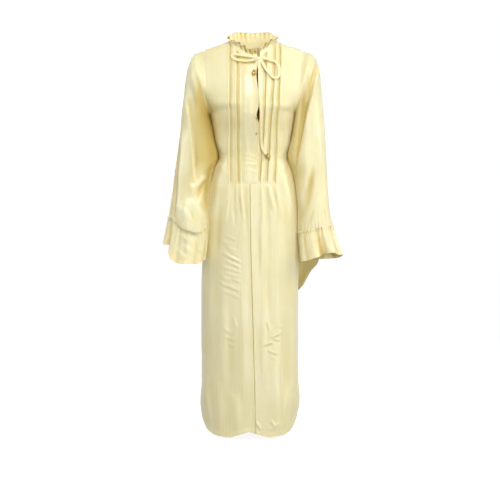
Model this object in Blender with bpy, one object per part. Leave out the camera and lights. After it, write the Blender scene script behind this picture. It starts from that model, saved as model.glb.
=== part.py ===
# Butterfly abaya in butter yellow satin, worn open and hollow, at real size.
# Metres, +Z up, front towards -Y, +X towards the viewer's right.
# The origin lies midway between the two points where the neck meets the shoulder seams.
import math

import bpy
import numpy as np

# Driving sizes
CLOTH = 0.0016          # thickness of every cloth wall
SEAM_GAP = 0.0003       # space between two pieces at a seam
ARMHOLE_GAP = 0.0007    # space where a sleeve meets the body pieces
BODY_ROUND = 2.3        # exponent of the body's oval sections, 2 is an ellipse
SIDE_SEAM_LIFT = 0.0002
PLACKET_LIFT = 0.0012   # the band stands off the panels by this much

# The body's oval sections, from the neck's side down to the hem
# height, centre x, half width, front depth, back depth
BODY_SECTIONS = (
    (0.013, 0.000, 0.090, 0.056, 0.052),
    (0.003, 0.000, 0.117, 0.061, 0.057),
    (-0.007, 0.000, 0.145, 0.065, 0.063),
    (-0.0175, 0.000, 0.175, 0.069, 0.070),
    (-0.050, 0.000, 0.195, 0.079, 0.086),
    (-0.100, 0.000, 0.205, 0.098, 0.100),
    (-0.150, 0.000, 0.203, 0.114, 0.108),
    (-0.200, 0.000, 0.182, 0.125, 0.111),
    (-0.245, 0.001, 0.150, 0.128, 0.111),
    (-0.280, 0.001, 0.144, 0.120, 0.109),
    (-0.320, 0.001, 0.138, 0.108, 0.106),
    (-0.360, 0.001, 0.131, 0.098, 0.104),
    (-0.403, 0.001, 0.1215, 0.093, 0.103),
    (-0.440, 0.001, 0.138, 0.095, 0.106),
    (-0.475, 0.001, 0.149, 0.099, 0.110),
    (-0.520, 0.000, 0.158, 0.104, 0.114),
    (-0.580, 0.000, 0.164, 0.108, 0.118),
    (-0.640, 0.000, 0.167, 0.110, 0.121),
    (-0.720, -0.003, 0.168, 0.112, 0.123),
    (-0.800, -0.009, 0.1735, 0.113, 0.124),
    (-0.900, -0.010, 0.1745, 0.114, 0.125),
    (-1.050, -0.010, 0.1745, 0.115, 0.126),
    (-1.200, -0.009, 0.1750, 0.117, 0.128),
    (-1.260, -0.009, 0.1790, 0.118, 0.129),
    (-1.330, -0.011, 0.1725, 0.119, 0.130),
    (-1.400, -0.012, 0.1640, 0.120, 0.131),
)

# Rows of a body panel above the waist: the side edge runs down the shoulder seam and the armhole
# edge height, edge share of the half width, centre height in front, centre height behind
PANEL_TOP_ROWS = (
    (0.013, 1.000, -0.057, 0.000),
    (0.003, 1.000, -0.068, -0.014),
    (-0.007, 1.000, -0.082, -0.032),
    (-0.0175, 1.000, -0.100, -0.055),
    (-0.0255, 0.965, -0.108, -0.068),
    (-0.050, 0.890, -0.122, -0.085),
    (-0.088, 0.815, -0.146, -0.115),
    (-0.125, 0.785, -0.168, -0.146),
    (-0.162, 0.785, -0.192, -0.178),
    (-0.200, 0.830, -0.215, -0.208),
    (-0.226, 0.905, -0.231, -0.229),
    (-0.240, 0.970, -0.241, -0.240),
    (-0.245, 1.000, -0.247, -0.247),
)
PANEL_LOW_LEVELS = (-0.280, -0.320, -0.360, -0.403, -0.440, -0.475, -0.500, -0.535, -0.580, -0.640,
                    -0.720, -0.800, -0.920, -1.050, -1.160, -1.240)
HEM_STEPS = (0.25, 0.5, 0.75, 1.0)
NECK_RISE_POWER = 1.7   # how the neckline climbs from the centre to the neck's side

# The rounded hem: share of the half width, height in front, height behind
HEM_CURVE = (
    (0.00, -1.3720, -1.388),
    (0.20, -1.3820, -1.390),
    (0.45, -1.3915, -1.391),
    (0.70, -1.3870, -1.387),
    (0.87, -1.3720, -1.372),
    (0.97, -1.3350, -1.335),
    (1.00, -1.2850, -1.285),
)

# Centre front seam: height, x
CENTRE_SEAM = ((-0.057, -0.0070), (-0.500, -0.0095), (-0.700, -0.0070), (-0.960, 0.0000), (-1.390, 0.0115))

# Pin tucks beside the placket: x at the neck, x under the bust, x at the tuck's end
TUCKS = {
    "left": ((-0.0420, -0.0420, -0.0405), (-0.0590, -0.0585, -0.0545), (-0.0840, -0.0840, -0.0825)),
    "right": ((0.0518, 0.0440, 0.0290), (0.0840, 0.0685, 0.0545), (0.1030, 0.0918, 0.0826)),
}
TUCK_LEVELS = (-0.060, -0.290, -0.500)
TUCK_END = -0.500
TUCK_HALF_WIDTH = 0.0022
TUCK_CLEARANCE = 0.014  # least distance from the outer tuck to the panel's edge
SIDE_ANGLES = (24, 46, 66, 80, 90)
TUCK_HEIGHT = 0.0018
TUCK_RELEASE = 0.0030   # the soft folds into which the tucks open below their ends
RELEASE_LENGTH = 0.25

# Back panel
BACK_COLUMNS = 19
BACK_WAVE = 0.0045
BACK_WAVES = 4

# Placket band
PLACKET_LEFT = -0.0370
PLACKET_SLIT = 0.0200
PLACKET_BOTTOM = -0.500
PLACKET_COLUMNS = (0.0, 0.19, 0.40, 0.61, 0.81, 0.94, 1.0)
PLACKET_NECK_DROP = 0.0012  # the band's top lies this far below the neckline
SLIT_TOP = -0.070
SLIT_END = -0.320
CURL_START = 0.004      # x from which the band lifts
SLIT_CURL = 0.0040      # how far the band's free edge stands off the panel
BUTTON_HEIGHTS = (-0.272, -0.324)
BUTTON_X = 0.0140
BUTTON_RADIUS = 0.0032
BUTTON_THICKNESS = 0.0022

# Sleeve sections from the armhole down, the same for a front and a back half
# outer x, outer height, inner x, inner height, front depth, back depth, how far it hangs forward
SLEEVE_SECTIONS = {
    "right": (
        (0.2090, -0.0285, 0.1575, -0.2490, 0.078, 0.082, 0.000),
        (0.2290, -0.0480, 0.1570, -0.2560, 0.076, 0.082, 0.000),
        (0.2385, -0.0850, 0.1565, -0.2640, 0.071, 0.079, 0.001),
        (0.2455, -0.1490, 0.1540, -0.2760, 0.065, 0.074, 0.003),
        (0.2520, -0.2150, 0.1500, -0.2950, 0.060, 0.070, 0.006),
        (0.2590, -0.2950, 0.1440, -0.3350, 0.057, 0.066, 0.011),
        (0.2642, -0.3850, 0.1330, -0.4020, 0.056, 0.064, 0.018),
        (0.2672, -0.4600, 0.1490, -0.4700, 0.056, 0.063, 0.025),
        (0.2705, -0.5300, 0.1600, -0.5400, 0.057, 0.063, 0.032),
        (0.2755, -0.5950, 0.1650, -0.6100, 0.058, 0.062, 0.039),
        (0.2860, -0.6420, 0.1660, -0.6660, 0.054, 0.056, 0.045),
    ),
    "left": (
        (0.2130, -0.0330, 0.1575, -0.2490, 0.078, 0.082, 0.000),
        (0.2300, -0.0600, 0.1570, -0.2560, 0.076, 0.082, 0.000),
        (0.2410, -0.1000, 0.1565, -0.2640, 0.071, 0.079, 0.001),
        (0.2480, -0.1600, 0.1540, -0.2760, 0.065, 0.074, 0.003),
        (0.2530, -0.2250, 0.1500, -0.2950, 0.061, 0.070, 0.007),
        (0.2590, -0.3000, 0.1440, -0.3350, 0.058, 0.066, 0.013),
        (0.2695, -0.3900, 0.1330, -0.4020, 0.057, 0.064, 0.021),
        (0.2790, -0.4600, 0.1490, -0.4700, 0.058, 0.063, 0.030),
        (0.2865, -0.5300, 0.1590, -0.5400, 0.062, 0.063, 0.039),
        (0.2950, -0.5900, 0.1640, -0.6150, 0.070, 0.062, 0.048),
        (0.2990, -0.6130, 0.1640, -0.6560, 0.066, 0.056, 0.055),
    ),
}
SLEEVE_ROWS = 19
SLEEVE_SEAM_ANGLE = 0.0045  # radians left open on each side of the sleeve's two seams

# Large sleeve folds seen from the front: x and height of the fold's top, x and height of its foot,
# width, height (a trough is negative)
SLEEVE_FOLDS = {
    "right": (
        (0.232, -0.080, 0.158, -0.470, 0.020, 0.0060),
        (0.190, -0.110, 0.150, -0.420, 0.018, -0.0070),
        (0.226, -0.360, 0.176, -0.620, 0.020, -0.0050),
    ),
    "left": (
        (-0.218, -0.060, -0.180, -0.230, 0.020, 0.0050),
        (-0.182, -0.120, -0.150, -0.320, 0.018, -0.0070),
        (-0.160, -0.500, -0.205, -0.560, 0.020, -0.0060),
    ),
}

FOLD_FADE = 0.03        # how far a fold runs on past its two ends

# Hems of the cuff ruffles, which start at the sleeve's last section
# outer x, inner x, outer, inner, front and back heights, front and back depths, how far forward
CUFF_HEMS = {
    "right": (0.3190, 0.1700, -0.7550, -0.7750, -0.7500, -0.7620, 0.062, 0.060, 0.055),
    "left": (0.3160, 0.1690, -0.7120, -0.7640, -0.7820, -0.7220, 0.064, 0.058, 0.066),
}
CUFF_SEAM_DROP = 0.0008
CUFF_FLUTES = 9
CUFF_WAVE = 0.0060
CUFF_UNEVEN = 0.9       # how far the flutes crowd and spread round the hem, in radians
CUFF_UNEVEN_START = 0.5
CUFF_SPREAD = 1.2       # power by which the ruffle widens from the seam to the hem
CUFF_COLUMNS = 63
CUFF_ROWS = 5

# Butterfly wings between the back panel and the sleeve's back
WING_BODY_ANGLE = 48.0      # degrees from the side towards the centre back
WING_SLEEVE_ANGLE = 254.3   # degrees round the sleeve, where 270 is the middle of its back
WING_SLEEVE_START = 3.4     # counted in sleeve sections
WING_TOP = -0.290
WING_MIDDLE = -0.660        # height on the back panel where the wing leaves the sleeve
WING_BELLY = (0.004, 0.014) # how far it sags backwards at its top and at its foot
WING_RIPPLE = 0.003
WING_COLUMNS = 9
WING_FOOT = {"right": -0.925, "left": -0.800}
WING_LIFT = 0.0009
# free lower edge: x, height, y, from under the cuff to the body
WING_FREE_EDGE = {
    "right": ((0.244, -0.700, 0.030), (0.240, -0.768, 0.034), (0.212, -0.805, 0.044), (0.186, -0.845, 0.062)),
    "left": ((0.243, -0.660, 0.026), (0.228, -0.700, 0.030), (0.210, -0.730, 0.042), (0.188, -0.760, 0.060)),
}

# Collar
# Each height is a share in front, an added share behind and a dip at the neck's sides
STAND_HEIGHT = (0.015, 0.008, -0.006)
RUFFLE_HEIGHT = (0.030, 0.010, -0.016)
RUFFLE_LEAN_FRONT = 0.018
RUFFLE_LEAN_BACK = 0.003
RUFFLE_GATHERS = 30
RUFFLE_WAVE = 0.0026
RUFFLE_COLUMNS = 120
RUFFLE_UNEVEN = 0.8         # how far the gathers crowd and spread round the neck, in radians
RUFFLE_FOOT_SHARE = 0.25    # the waves' depth at the seam as a share of their depth at the rim
RUFFLE_END = 0.45           # the ruffle's height at its two ends as a share of its height beside them
RUFFLE_END_ANGLE = 0.45
RUFFLE_CURVE = 1.25         # radians of the quarter wave by which it rises
RUFFLE_FLARE = 1.6          # power by which its rim leans out
STAND_LIFT = 0.0022
STAND_TAPER = 0.96
RUFFLE_LIFT = 0.0008
COLLAR_GAP_ANGLE = 3.0      # degrees left open on each side of the slit

# Tie of the same satin, worked as a narrow round tube
TIE_DIAMETER = 0.0058
KNOT_CENTRE = (0.0185, -0.0960, -0.0610)
KNOT_SIZE = (0.0075, 0.0060, 0.0070)
BEAD_LENGTH = 0.017
BEAD_RADIUS = 0.0058
# route points: x, height, stand off from the cloth
TIE_ROUTES = {
    "tie_loop_left": ((0.0109, -0.0605, 0.0142), (-0.0080, -0.0550, 0.0120), (-0.0300, -0.0500, 0.0100),
                      (-0.0520, -0.0460, 0.0085), (-0.0660, -0.0440, 0.0075), (-0.0720, -0.0505, 0.0070),
                      (-0.0670, -0.0590, 0.0070), (-0.0510, -0.0660, 0.0080), (-0.0300, -0.0700, 0.0090),
                      (-0.0080, -0.0700, 0.0110), (0.0100, -0.0668, 0.0142)),
    "tie_loop_right": ((0.0262, -0.0595, 0.0142), (0.0420, -0.0620, 0.0120), (0.0620, -0.0660, 0.0095),
                       (0.0800, -0.0730, 0.0080), (0.0910, -0.0890, 0.0070), (0.0935, -0.1090, 0.0070),
                       (0.0870, -0.1280, 0.0070), (0.0760, -0.1310, 0.0080), (0.0630, -0.1210, 0.0085),
                       (0.0500, -0.1060, 0.0095), (0.0390, -0.0880, 0.0110), (0.0285, -0.0690, 0.0140)),
    "tie_end_short": ((0.0140, -0.0728, 0.0145), (0.0126, -0.0800, 0.0128), (0.0090, -0.0900, 0.0110),
                      (0.0060, -0.1040, 0.0100)),
    "tie_end_long": ((0.0225, -0.0728, 0.0145), (0.0228, -0.0920, 0.0125), (0.0228, -0.1210, 0.0115),
                     (0.0215, -0.1600, 0.0110), (0.0205, -0.2000, 0.0110), (0.0210, -0.2400, 0.0105),
                     (0.0240, -0.2800, 0.0095), (0.0290, -0.3300, 0.0085), (0.0312, -0.3600, 0.0080),
                     (0.0345, -0.3780, 0.0080), (0.0405, -0.3890, 0.0080), (0.0460, -0.3955, 0.0080)),
}
TIE_POINTS = {"tie_loop_left": 17, "tie_loop_right": 18, "tie_end_short": 5, "tie_end_long": 24}

SATIN = ("satin", (0.80, 0.71, 0.42, 1.0), 0.42, 0.0)
GOLD = ("gold", (0.72, 0.48, 0.14, 1.0), 0.28, 1.0)


def clear_scene():
    for thing in list(bpy.data.objects):
        bpy.data.objects.remove(thing, do_unlink=True)


def material(finish):
    name, colour, rough, metal = finish
    made = bpy.data.materials.get(name)
    if made is None:
        made = bpy.data.materials.new(name)
        made.use_nodes = True
        shader = made.node_tree.nodes["Principled BSDF"]
        shader.inputs["Base Color"].default_value = colour
        shader.inputs["Roughness"].default_value = rough
        shader.inputs["Metallic"].default_value = metal
    return made


# Smooth curve through a table's points: cubic pieces whose slopes never overshoot
def smooth(xs, ys, at):
    xs = np.asarray(xs, float)
    ys = np.asarray(ys, float)
    if xs[0] > xs[-1]:
        xs = xs[::-1]
        ys = ys[::-1]
    steps = np.diff(xs)
    rise = np.diff(ys) / steps
    slopes = np.zeros(len(xs))
    same = rise[:-1] * rise[1:] > 0
    slopes[1:-1] = np.where(same, 2 * rise[:-1] * rise[1:] / np.where(same, rise[:-1] + rise[1:], 1), 0)
    slopes[0] = rise[0]
    slopes[-1] = rise[-1]
    at = np.clip(np.asarray(at, float), xs[0], xs[-1])
    k = np.clip(np.searchsorted(xs, at, side="right") - 1, 0, len(xs) - 2)
    t = (at - xs[k]) / steps[k]
    a = (1 + 2 * t) * (1 - t) ** 2 * ys[k] + t * (1 - t) ** 2 * steps[k] * slopes[k]
    b = t * t * (3 - 2 * t) * ys[k + 1] + t * t * (t - 1) * steps[k] * slopes[k + 1]
    return a + b


def column(table, index, at):
    return smooth([row[0] for row in table], [row[index] for row in table], at)


# The body's surface at x and height z: |x / half width|^n + |y / depth|^n = 1
def body_point(x, z, face):
    x = np.asarray(x, float)
    z = np.asarray(z, float)
    centre = column(BODY_SECTIONS, 1, z)
    half = column(BODY_SECTIONS, 2, z)
    depth = column(BODY_SECTIONS, 3 if face < 0 else 4, z)
    across = np.clip(np.abs((x - centre) / half), 0, 1)
    y = face * depth * (1 - across ** BODY_ROUND) ** (1 / BODY_ROUND)
    return np.stack([x, y, z], axis=-1)


# Outward direction of that surface, the gradient of the same formula
def body_normal(points, face):
    x, y, z = points[..., 0], points[..., 1], points[..., 2]
    index = 3 if face < 0 else 4

    def level(px, py, pz):
        across = np.abs((px - column(BODY_SECTIONS, 1, pz)) / column(BODY_SECTIONS, 2, pz))
        along = np.abs(py / column(BODY_SECTIONS, index, pz))
        return across ** BODY_ROUND + along ** BODY_ROUND

    h = 1e-5
    slope = np.stack([level(x + h, y, z) - level(x - h, y, z),
                      level(x, y + h, z) - level(x, y - h, z),
                      level(x, y, z + h) - level(x, y, z - h)], axis=-1)
    return slope / np.linalg.norm(slope, axis=-1, keepdims=True)


# Outward direction of a surface given as a function of two parameters
def surface_normal(surface, u, v, turn):
    h = 1e-4
    along_u = surface(u + h, v) - surface(u - h, v)
    along_v = surface(u, v + h) - surface(u, v - h)
    cross = np.cross(along_u, along_v) * turn
    return cross / np.maximum(np.linalg.norm(cross, axis=-1, keepdims=True), 1e-12)


# A closed cloth wall between an outer and an inner grid of points, one body
def wall(name, outer, inner, finish=SATIN, ring=False):
    rows, cols = outer.shape[:2]
    count = rows * cols
    verts = np.concatenate([outer.reshape(-1, 3), inner.reshape(-1, 3)])

    def at(r, c, side):
        return side * count + r * cols + c % cols

    spans = cols if ring else cols - 1
    faces = []
    for r in range(rows - 1):
        for c in range(spans):
            faces.append((at(r, c, 0), at(r + 1, c, 0), at(r + 1, c + 1, 0), at(r, c + 1, 0)))
            faces.append((at(r, c, 1), at(r, c + 1, 1), at(r + 1, c + 1, 1), at(r + 1, c, 1)))
    for c in range(spans):
        faces.append((at(0, c, 0), at(0, c + 1, 0), at(0, c + 1, 1), at(0, c, 1)))
        faces.append((at(rows - 1, c, 0), at(rows - 1, c, 1), at(rows - 1, c + 1, 1), at(rows - 1, c + 1, 0)))
    if not ring:
        for r in range(rows - 1):
            faces.append((at(r, 0, 0), at(r, 0, 1), at(r + 1, 0, 1), at(r + 1, 0, 0)))
            last = cols - 1
            faces.append((at(r, last, 0), at(r + 1, last, 0), at(r + 1, last, 1), at(r, last, 1)))
    mesh = bpy.data.meshes.new(name)
    mesh.from_pydata([tuple(point) for point in verts], [], faces)
    mesh.update()
    volume = signed_volume(verts, faces)
    if volume < 0:
        mesh.flip_normals()
    mesh.shade_smooth()
    mesh.set_sharp_from_angle(angle=math.radians(40))
    thing = bpy.data.objects.new(name, mesh)
    thing.data.materials.append(material(finish))
    bpy.context.collection.objects.link(thing)
    return thing


def signed_volume(verts, faces):
    quads = np.asarray(faces)
    a, b, c, d = (verts[quads[:, k]] for k in range(4))
    first = np.einsum("ij,ij->i", a, np.cross(b, c)).sum()
    second = np.einsum("ij,ij->i", a, np.cross(c, d)).sum()
    return first + second


# Height of a soft fold along a slanting line, a rounded bump across it that fades at both ends
def fold_height(points, fold):
    top_x, top_z, foot_x, foot_z, width, height = fold
    run = np.clip((points[..., 2] - top_z) / (foot_z - top_z), 0, 1)
    line = top_x + (foot_x - top_x) * run
    across = (points[..., 0] - line) / width
    past = np.maximum(points[..., 2] - top_z, 0) + np.maximum(foot_z - points[..., 2], 0)
    fade = np.sin(np.pi * np.clip(run, 0.06, 0.94)) ** 0.5 * np.exp(-(past / FOLD_FADE) ** 2)
    return height * np.exp(-across ** 2) * fade


# Rows of a panel: heights at the side edge and at the centre, and the edge's share of the width
def panel_rows(face):
    centre_index = 2 if face < 0 else 3
    rows = [(row[0], row[centre_index], row[1]) for row in PANEL_TOP_ROWS]
    rows += [(level, level, 1.0) for level in PANEL_LOW_LEVELS]
    return rows


# Heights of one row of points, which climbs from the centre to the side by a power of the share
def row_heights(row, share):
    edge_z, centre_z, _ = row
    return centre_z + (edge_z - centre_z) * share ** NECK_RISE_POWER


def hem_height(share, face):
    return smooth([row[0] for row in HEM_CURVE], [row[1 if face < 0 else 2] for row in HEM_CURVE], share)


def tuck_x(side, index, z):
    return np.interp(-z, [-level for level in TUCK_LEVELS], TUCKS[side][index])


# Distances from the middle where a front panel has its columns, which follow the tucks
def front_columns(side, row, sign):
    edge_z, centre_z, edge_share = row
    middle = float(column(BODY_SECTIONS, 1, centre_z))
    edge = float(column(BODY_SECTIONS, 2, edge_z)) * edge_share
    seam = float(centre_seam(centre_z)) * sign - middle * sign
    tucks = [float(tuck_x(side, index, centre_z)) * sign - middle * sign for index in range(3)]
    squeeze = min(1, (edge - TUCK_CLEARANCE) / tucks[-1])
    marks = []
    for place in tucks:
        marks += [(place + shift) * squeeze for shift in (-TUCK_HALF_WIDTH, 0, TUCK_HALF_WIDTH)]
    last = marks[-1]
    rest = [last + (edge - last) * math.sin(math.radians(angle)) for angle in SIDE_ANGLES]
    return np.array([seam, (seam + marks[0]) / 2] + marks + rest), edge


def centre_seam(z):
    return smooth([row[0] for row in CENTRE_SEAM], [row[1] for row in CENTRE_SEAM], z)


# A front panel: columns along the tucks, rows from neckline to rounded hem
def front_panel(side):
    sign = 1 if side == "right" else -1
    grid = []
    for row in panel_rows(-1):
        places, edge = front_columns(side, row, sign)
        z = row_heights(row, np.clip(np.abs(places) / edge, 0, 1))
        grid.append(np.stack([sign * places + column(BODY_SECTIONS, 1, z), z], axis=-1))
    grid = np.array(add_hem_rows(grid, -1))
    grid[:, 0, 0] = centre_seam(grid[:, 0, 1]) + sign * SEAM_GAP / 2
    base = body_point(grid[..., 0], grid[..., 1], -1)
    base[:, -1, 1] = np.minimum(base[:, -1, 1], -SIDE_SEAM_LIFT)
    normal = body_normal(base, -1)
    below = TUCK_END - base[..., 2]
    closed = np.clip(1 - below / 0.012, 0, 1)
    closed[0] = 0
    opened = np.clip(below / 0.03, 0, 1) * np.clip(1 - below / RELEASE_LENGTH, 0, 1)
    relief = np.zeros(base.shape[:2])
    for index in range(3):
        middle = 3 + 3 * index
        relief[:, middle] += TUCK_HEIGHT * closed[:, middle]
        relief[:, middle - 1:middle + 2] += TUCK_RELEASE * opened[:, middle - 1:middle + 2]
    return wall("front_" + side, base + normal * relief[..., None], base - normal * CLOTH)


# Rows between the last level row and the rounded hem
def add_hem_rows(grid, face):
    top = grid[-1]
    start = top[:, 1]
    offset = top[:, 0] - column(BODY_SECTIONS, 1, start)
    share = offset / column(BODY_SECTIONS, 2, start)
    foot = hem_height(np.clip(np.abs(share), 0, 1), face)
    for step in HEM_STEPS:
        z = start + (foot - start) * step
        x = column(BODY_SECTIONS, 1, z) + share * column(BODY_SECTIONS, 2, z)
        grid.append(np.stack([x, z], axis=-1))
    return grid


# The back panel: columns from one side to the other, crowded towards the side seams
def back_panel():
    share = np.sin(np.radians(np.linspace(-90, 90, BACK_COLUMNS)))
    grid = []
    for row in panel_rows(1):
        z = row_heights(row, np.abs(share))
        edge = column(BODY_SECTIONS, 2, row[0]) * row[2]
        grid.append(np.stack([share * edge + column(BODY_SECTIONS, 1, z), z], axis=-1))
    grid = np.array(add_hem_rows(grid, 1))
    base = body_point(grid[..., 0], grid[..., 1], 1)
    base[:, [0, -1], 1] = np.maximum(base[:, [0, -1], 1], SIDE_SEAM_LIFT)
    normal = body_normal(base, 1)
    waves = back_wave(np.broadcast_to(share, base.shape[:2]), base[..., 2])
    return wall("back", base + normal * waves[..., None], base + normal * (waves[..., None] - CLOTH))


# Soft hanging folds of the back, which grow below the shoulder blades and die out at the sides
def back_wave(share, z):
    hang = np.clip((-z - 0.25) / 0.5, 0, 1)
    away = np.clip((1 - np.abs(share)) / 0.3, 0, 1)
    return BACK_WAVE * np.cos(np.arcsin(np.clip(share, -1, 1)) * 2 * BACK_WAVES) * hang * away


# How far the band's free edge curls off the panel along the slit
def slit_lift(x, z):
    across = np.clip((x - CURL_START) / (PLACKET_SLIT - CURL_START), 0, 1)
    along = np.clip((z - SLIT_END) / (SLIT_TOP - SLIT_END), 0, 1)
    return SLIT_CURL * np.sin(np.pi * along) ** 2 * across ** 2


# The placket band: the front's own points, moved out
def placket():
    xs = np.interp(PLACKET_COLUMNS, (0, 1), (PLACKET_LEFT, PLACKET_SLIT))
    levels = [row[2] for row in PANEL_TOP_ROWS] + [z for z in PANEL_LOW_LEVELS if z >= PLACKET_BOTTOM]
    levels = np.array(levels)
    top = row_heights((PANEL_TOP_ROWS[0][0], PANEL_TOP_ROWS[0][2], 1), np.abs(xs) / BODY_SECTIONS[0][2])
    climb = np.clip((levels - levels[4]) / (levels[0] - levels[4]), 0, 1)
    z = levels[:, None] + (top - PLACKET_NECK_DROP - levels[0])[None, :] * climb[:, None]
    base = body_point(np.broadcast_to(xs, z.shape), z, -1)
    normal = body_normal(base, -1)
    lift = slit_lift(xs[None, :], z[:, :1])
    inner = base + normal * (PLACKET_LIFT + lift)[..., None]
    outer = base + normal * (PLACKET_LIFT + CLOTH + lift)[..., None]
    return wall("placket", outer, inner)


# Armhole of one side as a closed curve, angle 0 at the shoulder tip, 90 in front, 180 under the arm
def armhole(angle, sign):
    tip = PANEL_TOP_ROWS[3][0]
    pit = PANEL_TOP_ROWS[-1][0]
    z = (tip + pit) / 2 + (tip - pit) / 2 * np.cos(angle)
    rows = PANEL_TOP_ROWS[3:]
    share = np.interp(-z, [-row[0] for row in rows], [row[1] for row in rows])
    centre = column(BODY_SECTIONS, 1, z)
    half = column(BODY_SECTIONS, 2, z)
    front = np.sin(angle) >= 0
    depth = np.where(front, column(BODY_SECTIONS, 3, z), column(BODY_SECTIONS, 4, z))
    y = depth * (1 - np.clip(share, 0, 1) ** BODY_ROUND) ** (1 / BODY_ROUND)
    return np.stack([centre + sign * (half * share + ARMHOLE_GAP), np.where(front, -y, y), z], axis=-1)


# Angles at which the armhole meets the rows of the body panels, kept off the two seams
def armhole_angles():
    heights = np.array([row[0] for row in PANEL_TOP_ROWS[3:]])
    middle = (heights[0] + heights[-1]) / 2
    angles = np.arccos((heights - middle) / (heights[0] - middle))
    return np.clip(angles, SLEEVE_SEAM_ANGLE, math.pi - SLEEVE_SEAM_ANGLE)


# One oval section of a sleeve
def sleeve_ring(row, angle, sign):
    outer_x, outer_z, inner_x, inner_z, front, back, forward = row
    swing = np.cos(angle)
    x = (outer_x + inner_x) / 2 + (outer_x - inner_x) / 2 * swing
    z = (outer_z + inner_z) / 2 + (outer_z - inner_z) / 2 * swing
    bulge = np.sin(angle)
    y = -np.where(bulge >= 0, front, back) * bulge - forward
    return np.stack([sign * x, y, z], axis=-1)


# The sleeve's surface: sections joined by smooth cubic pieces, s counts the sections
def sleeve_surface(side):
    sign = 1 if side == "right" else -1
    rows = SLEEVE_SECTIONS[side]

    def surface(angle, s):
        angle = np.asarray(angle, float)
        rings = np.array([armhole(angle, sign)] + [sleeve_ring(row, angle, sign) for row in rows])
        slopes = np.gradient(rings, axis=0)
        s = np.clip(np.asarray(s, float), 0, len(rows))
        k = np.clip(np.floor(s).astype(int), 0, len(rows) - 1)
        t = (s - k)[..., None]
        pick = np.indices(angle.shape)
        lower = rings[(k,) + tuple(pick)]
        upper = rings[(k + 1,) + tuple(pick)]
        leave = slopes[(k,) + tuple(pick)]
        arrive = slopes[(k + 1,) + tuple(pick)]
        ease = t * t * (3 - 2 * t)
        return (lower * (1 - ease) + upper * ease + leave * t * (1 - t) ** 2 + arrive * t * t * (t - 1))

    return surface, sign, len(rows)


def sleeve_half(side, half):
    surface, sign, count = sleeve_surface(side)
    angles = armhole_angles()
    if half == "back":
        angles = 2 * math.pi - angles[::-1]
    steps = np.linspace(0, count, SLEEVE_ROWS)
    angle, s = np.meshgrid(angles, steps)
    base = surface(angle, s)
    normal = surface_normal(surface, angle, s, sign)
    relief = np.zeros(angle.shape)
    if half == "front":
        for fold in SLEEVE_FOLDS[side]:
            relief += fold_height(base, fold)
    relief *= np.clip(np.abs(np.sin(angle)) / 0.5, 0, 1) * np.clip((s - 1.5) / 2, 0, 1) * np.clip(count - s, 0, 1)
    outer = base + normal * relief[..., None]
    inner = base + normal * (relief - CLOTH)[..., None]
    return wall("sleeve_" + side + "_" + half, outer, inner)


# Cuff ruffle: from the sleeve's last section to the hem's oval, spreading towards the hem
def cuff_surface(side):
    sign = 1 if side == "right" else -1
    outer_x, inner_x, outer_z, inner_z, front_z, back_z, front, back, forward = CUFF_HEMS[side]
    middle = (outer_z + inner_z) / 2

    def hem(angle):
        swing = np.cos(angle)
        bulge = np.sin(angle)
        x = (outer_x + inner_x) / 2 + (outer_x - inner_x) / 2 * swing
        z = middle + (outer_z - inner_z) / 2 * swing
        z = z + (front_z - middle) * np.clip(bulge, 0, 1) ** 2 + (back_z - middle) * np.clip(-bulge, 0, 1) ** 2
        y = -np.where(bulge >= 0, front, back) * bulge - forward
        return np.stack([sign * x, y, z], axis=-1)

    def surface(angle, t):
        start = sleeve_ring(SLEEVE_SECTIONS[side][-1], angle, sign)
        end = hem(angle)
        t = np.asarray(t, float)[..., None]
        across = start[..., :2] + (end[..., :2] - start[..., :2]) * t ** CUFF_SPREAD
        down = start[..., 2:] - CUFF_SEAM_DROP + (end[..., 2:] - start[..., 2:]) * t
        return np.concatenate([across, down], axis=-1)

    return surface, sign


def cuff_ruffle(side):
    surface, sign = cuff_surface(side)
    angles = np.linspace(0, 2 * math.pi, CUFF_COLUMNS, endpoint=False)
    angle, t = np.meshgrid(angles, np.linspace(0, 1, CUFF_ROWS))
    base = surface(angle, t)
    normal = surface_normal(surface, angle, np.clip(t, 0.01, 0.99), sign)
    uneven = CUFF_UNEVEN * np.sin(2 * angle + CUFF_UNEVEN_START)
    wave = CUFF_WAVE * np.clip(t, 0, 1) * np.sin(angle * CUFF_FLUTES + uneven)
    outer = base + normal * wave[..., None]
    inner = base + normal * (wave - CLOTH)[..., None]
    return wall("cuff_ruffle_" + side, outer, inner, ring=True)


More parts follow.
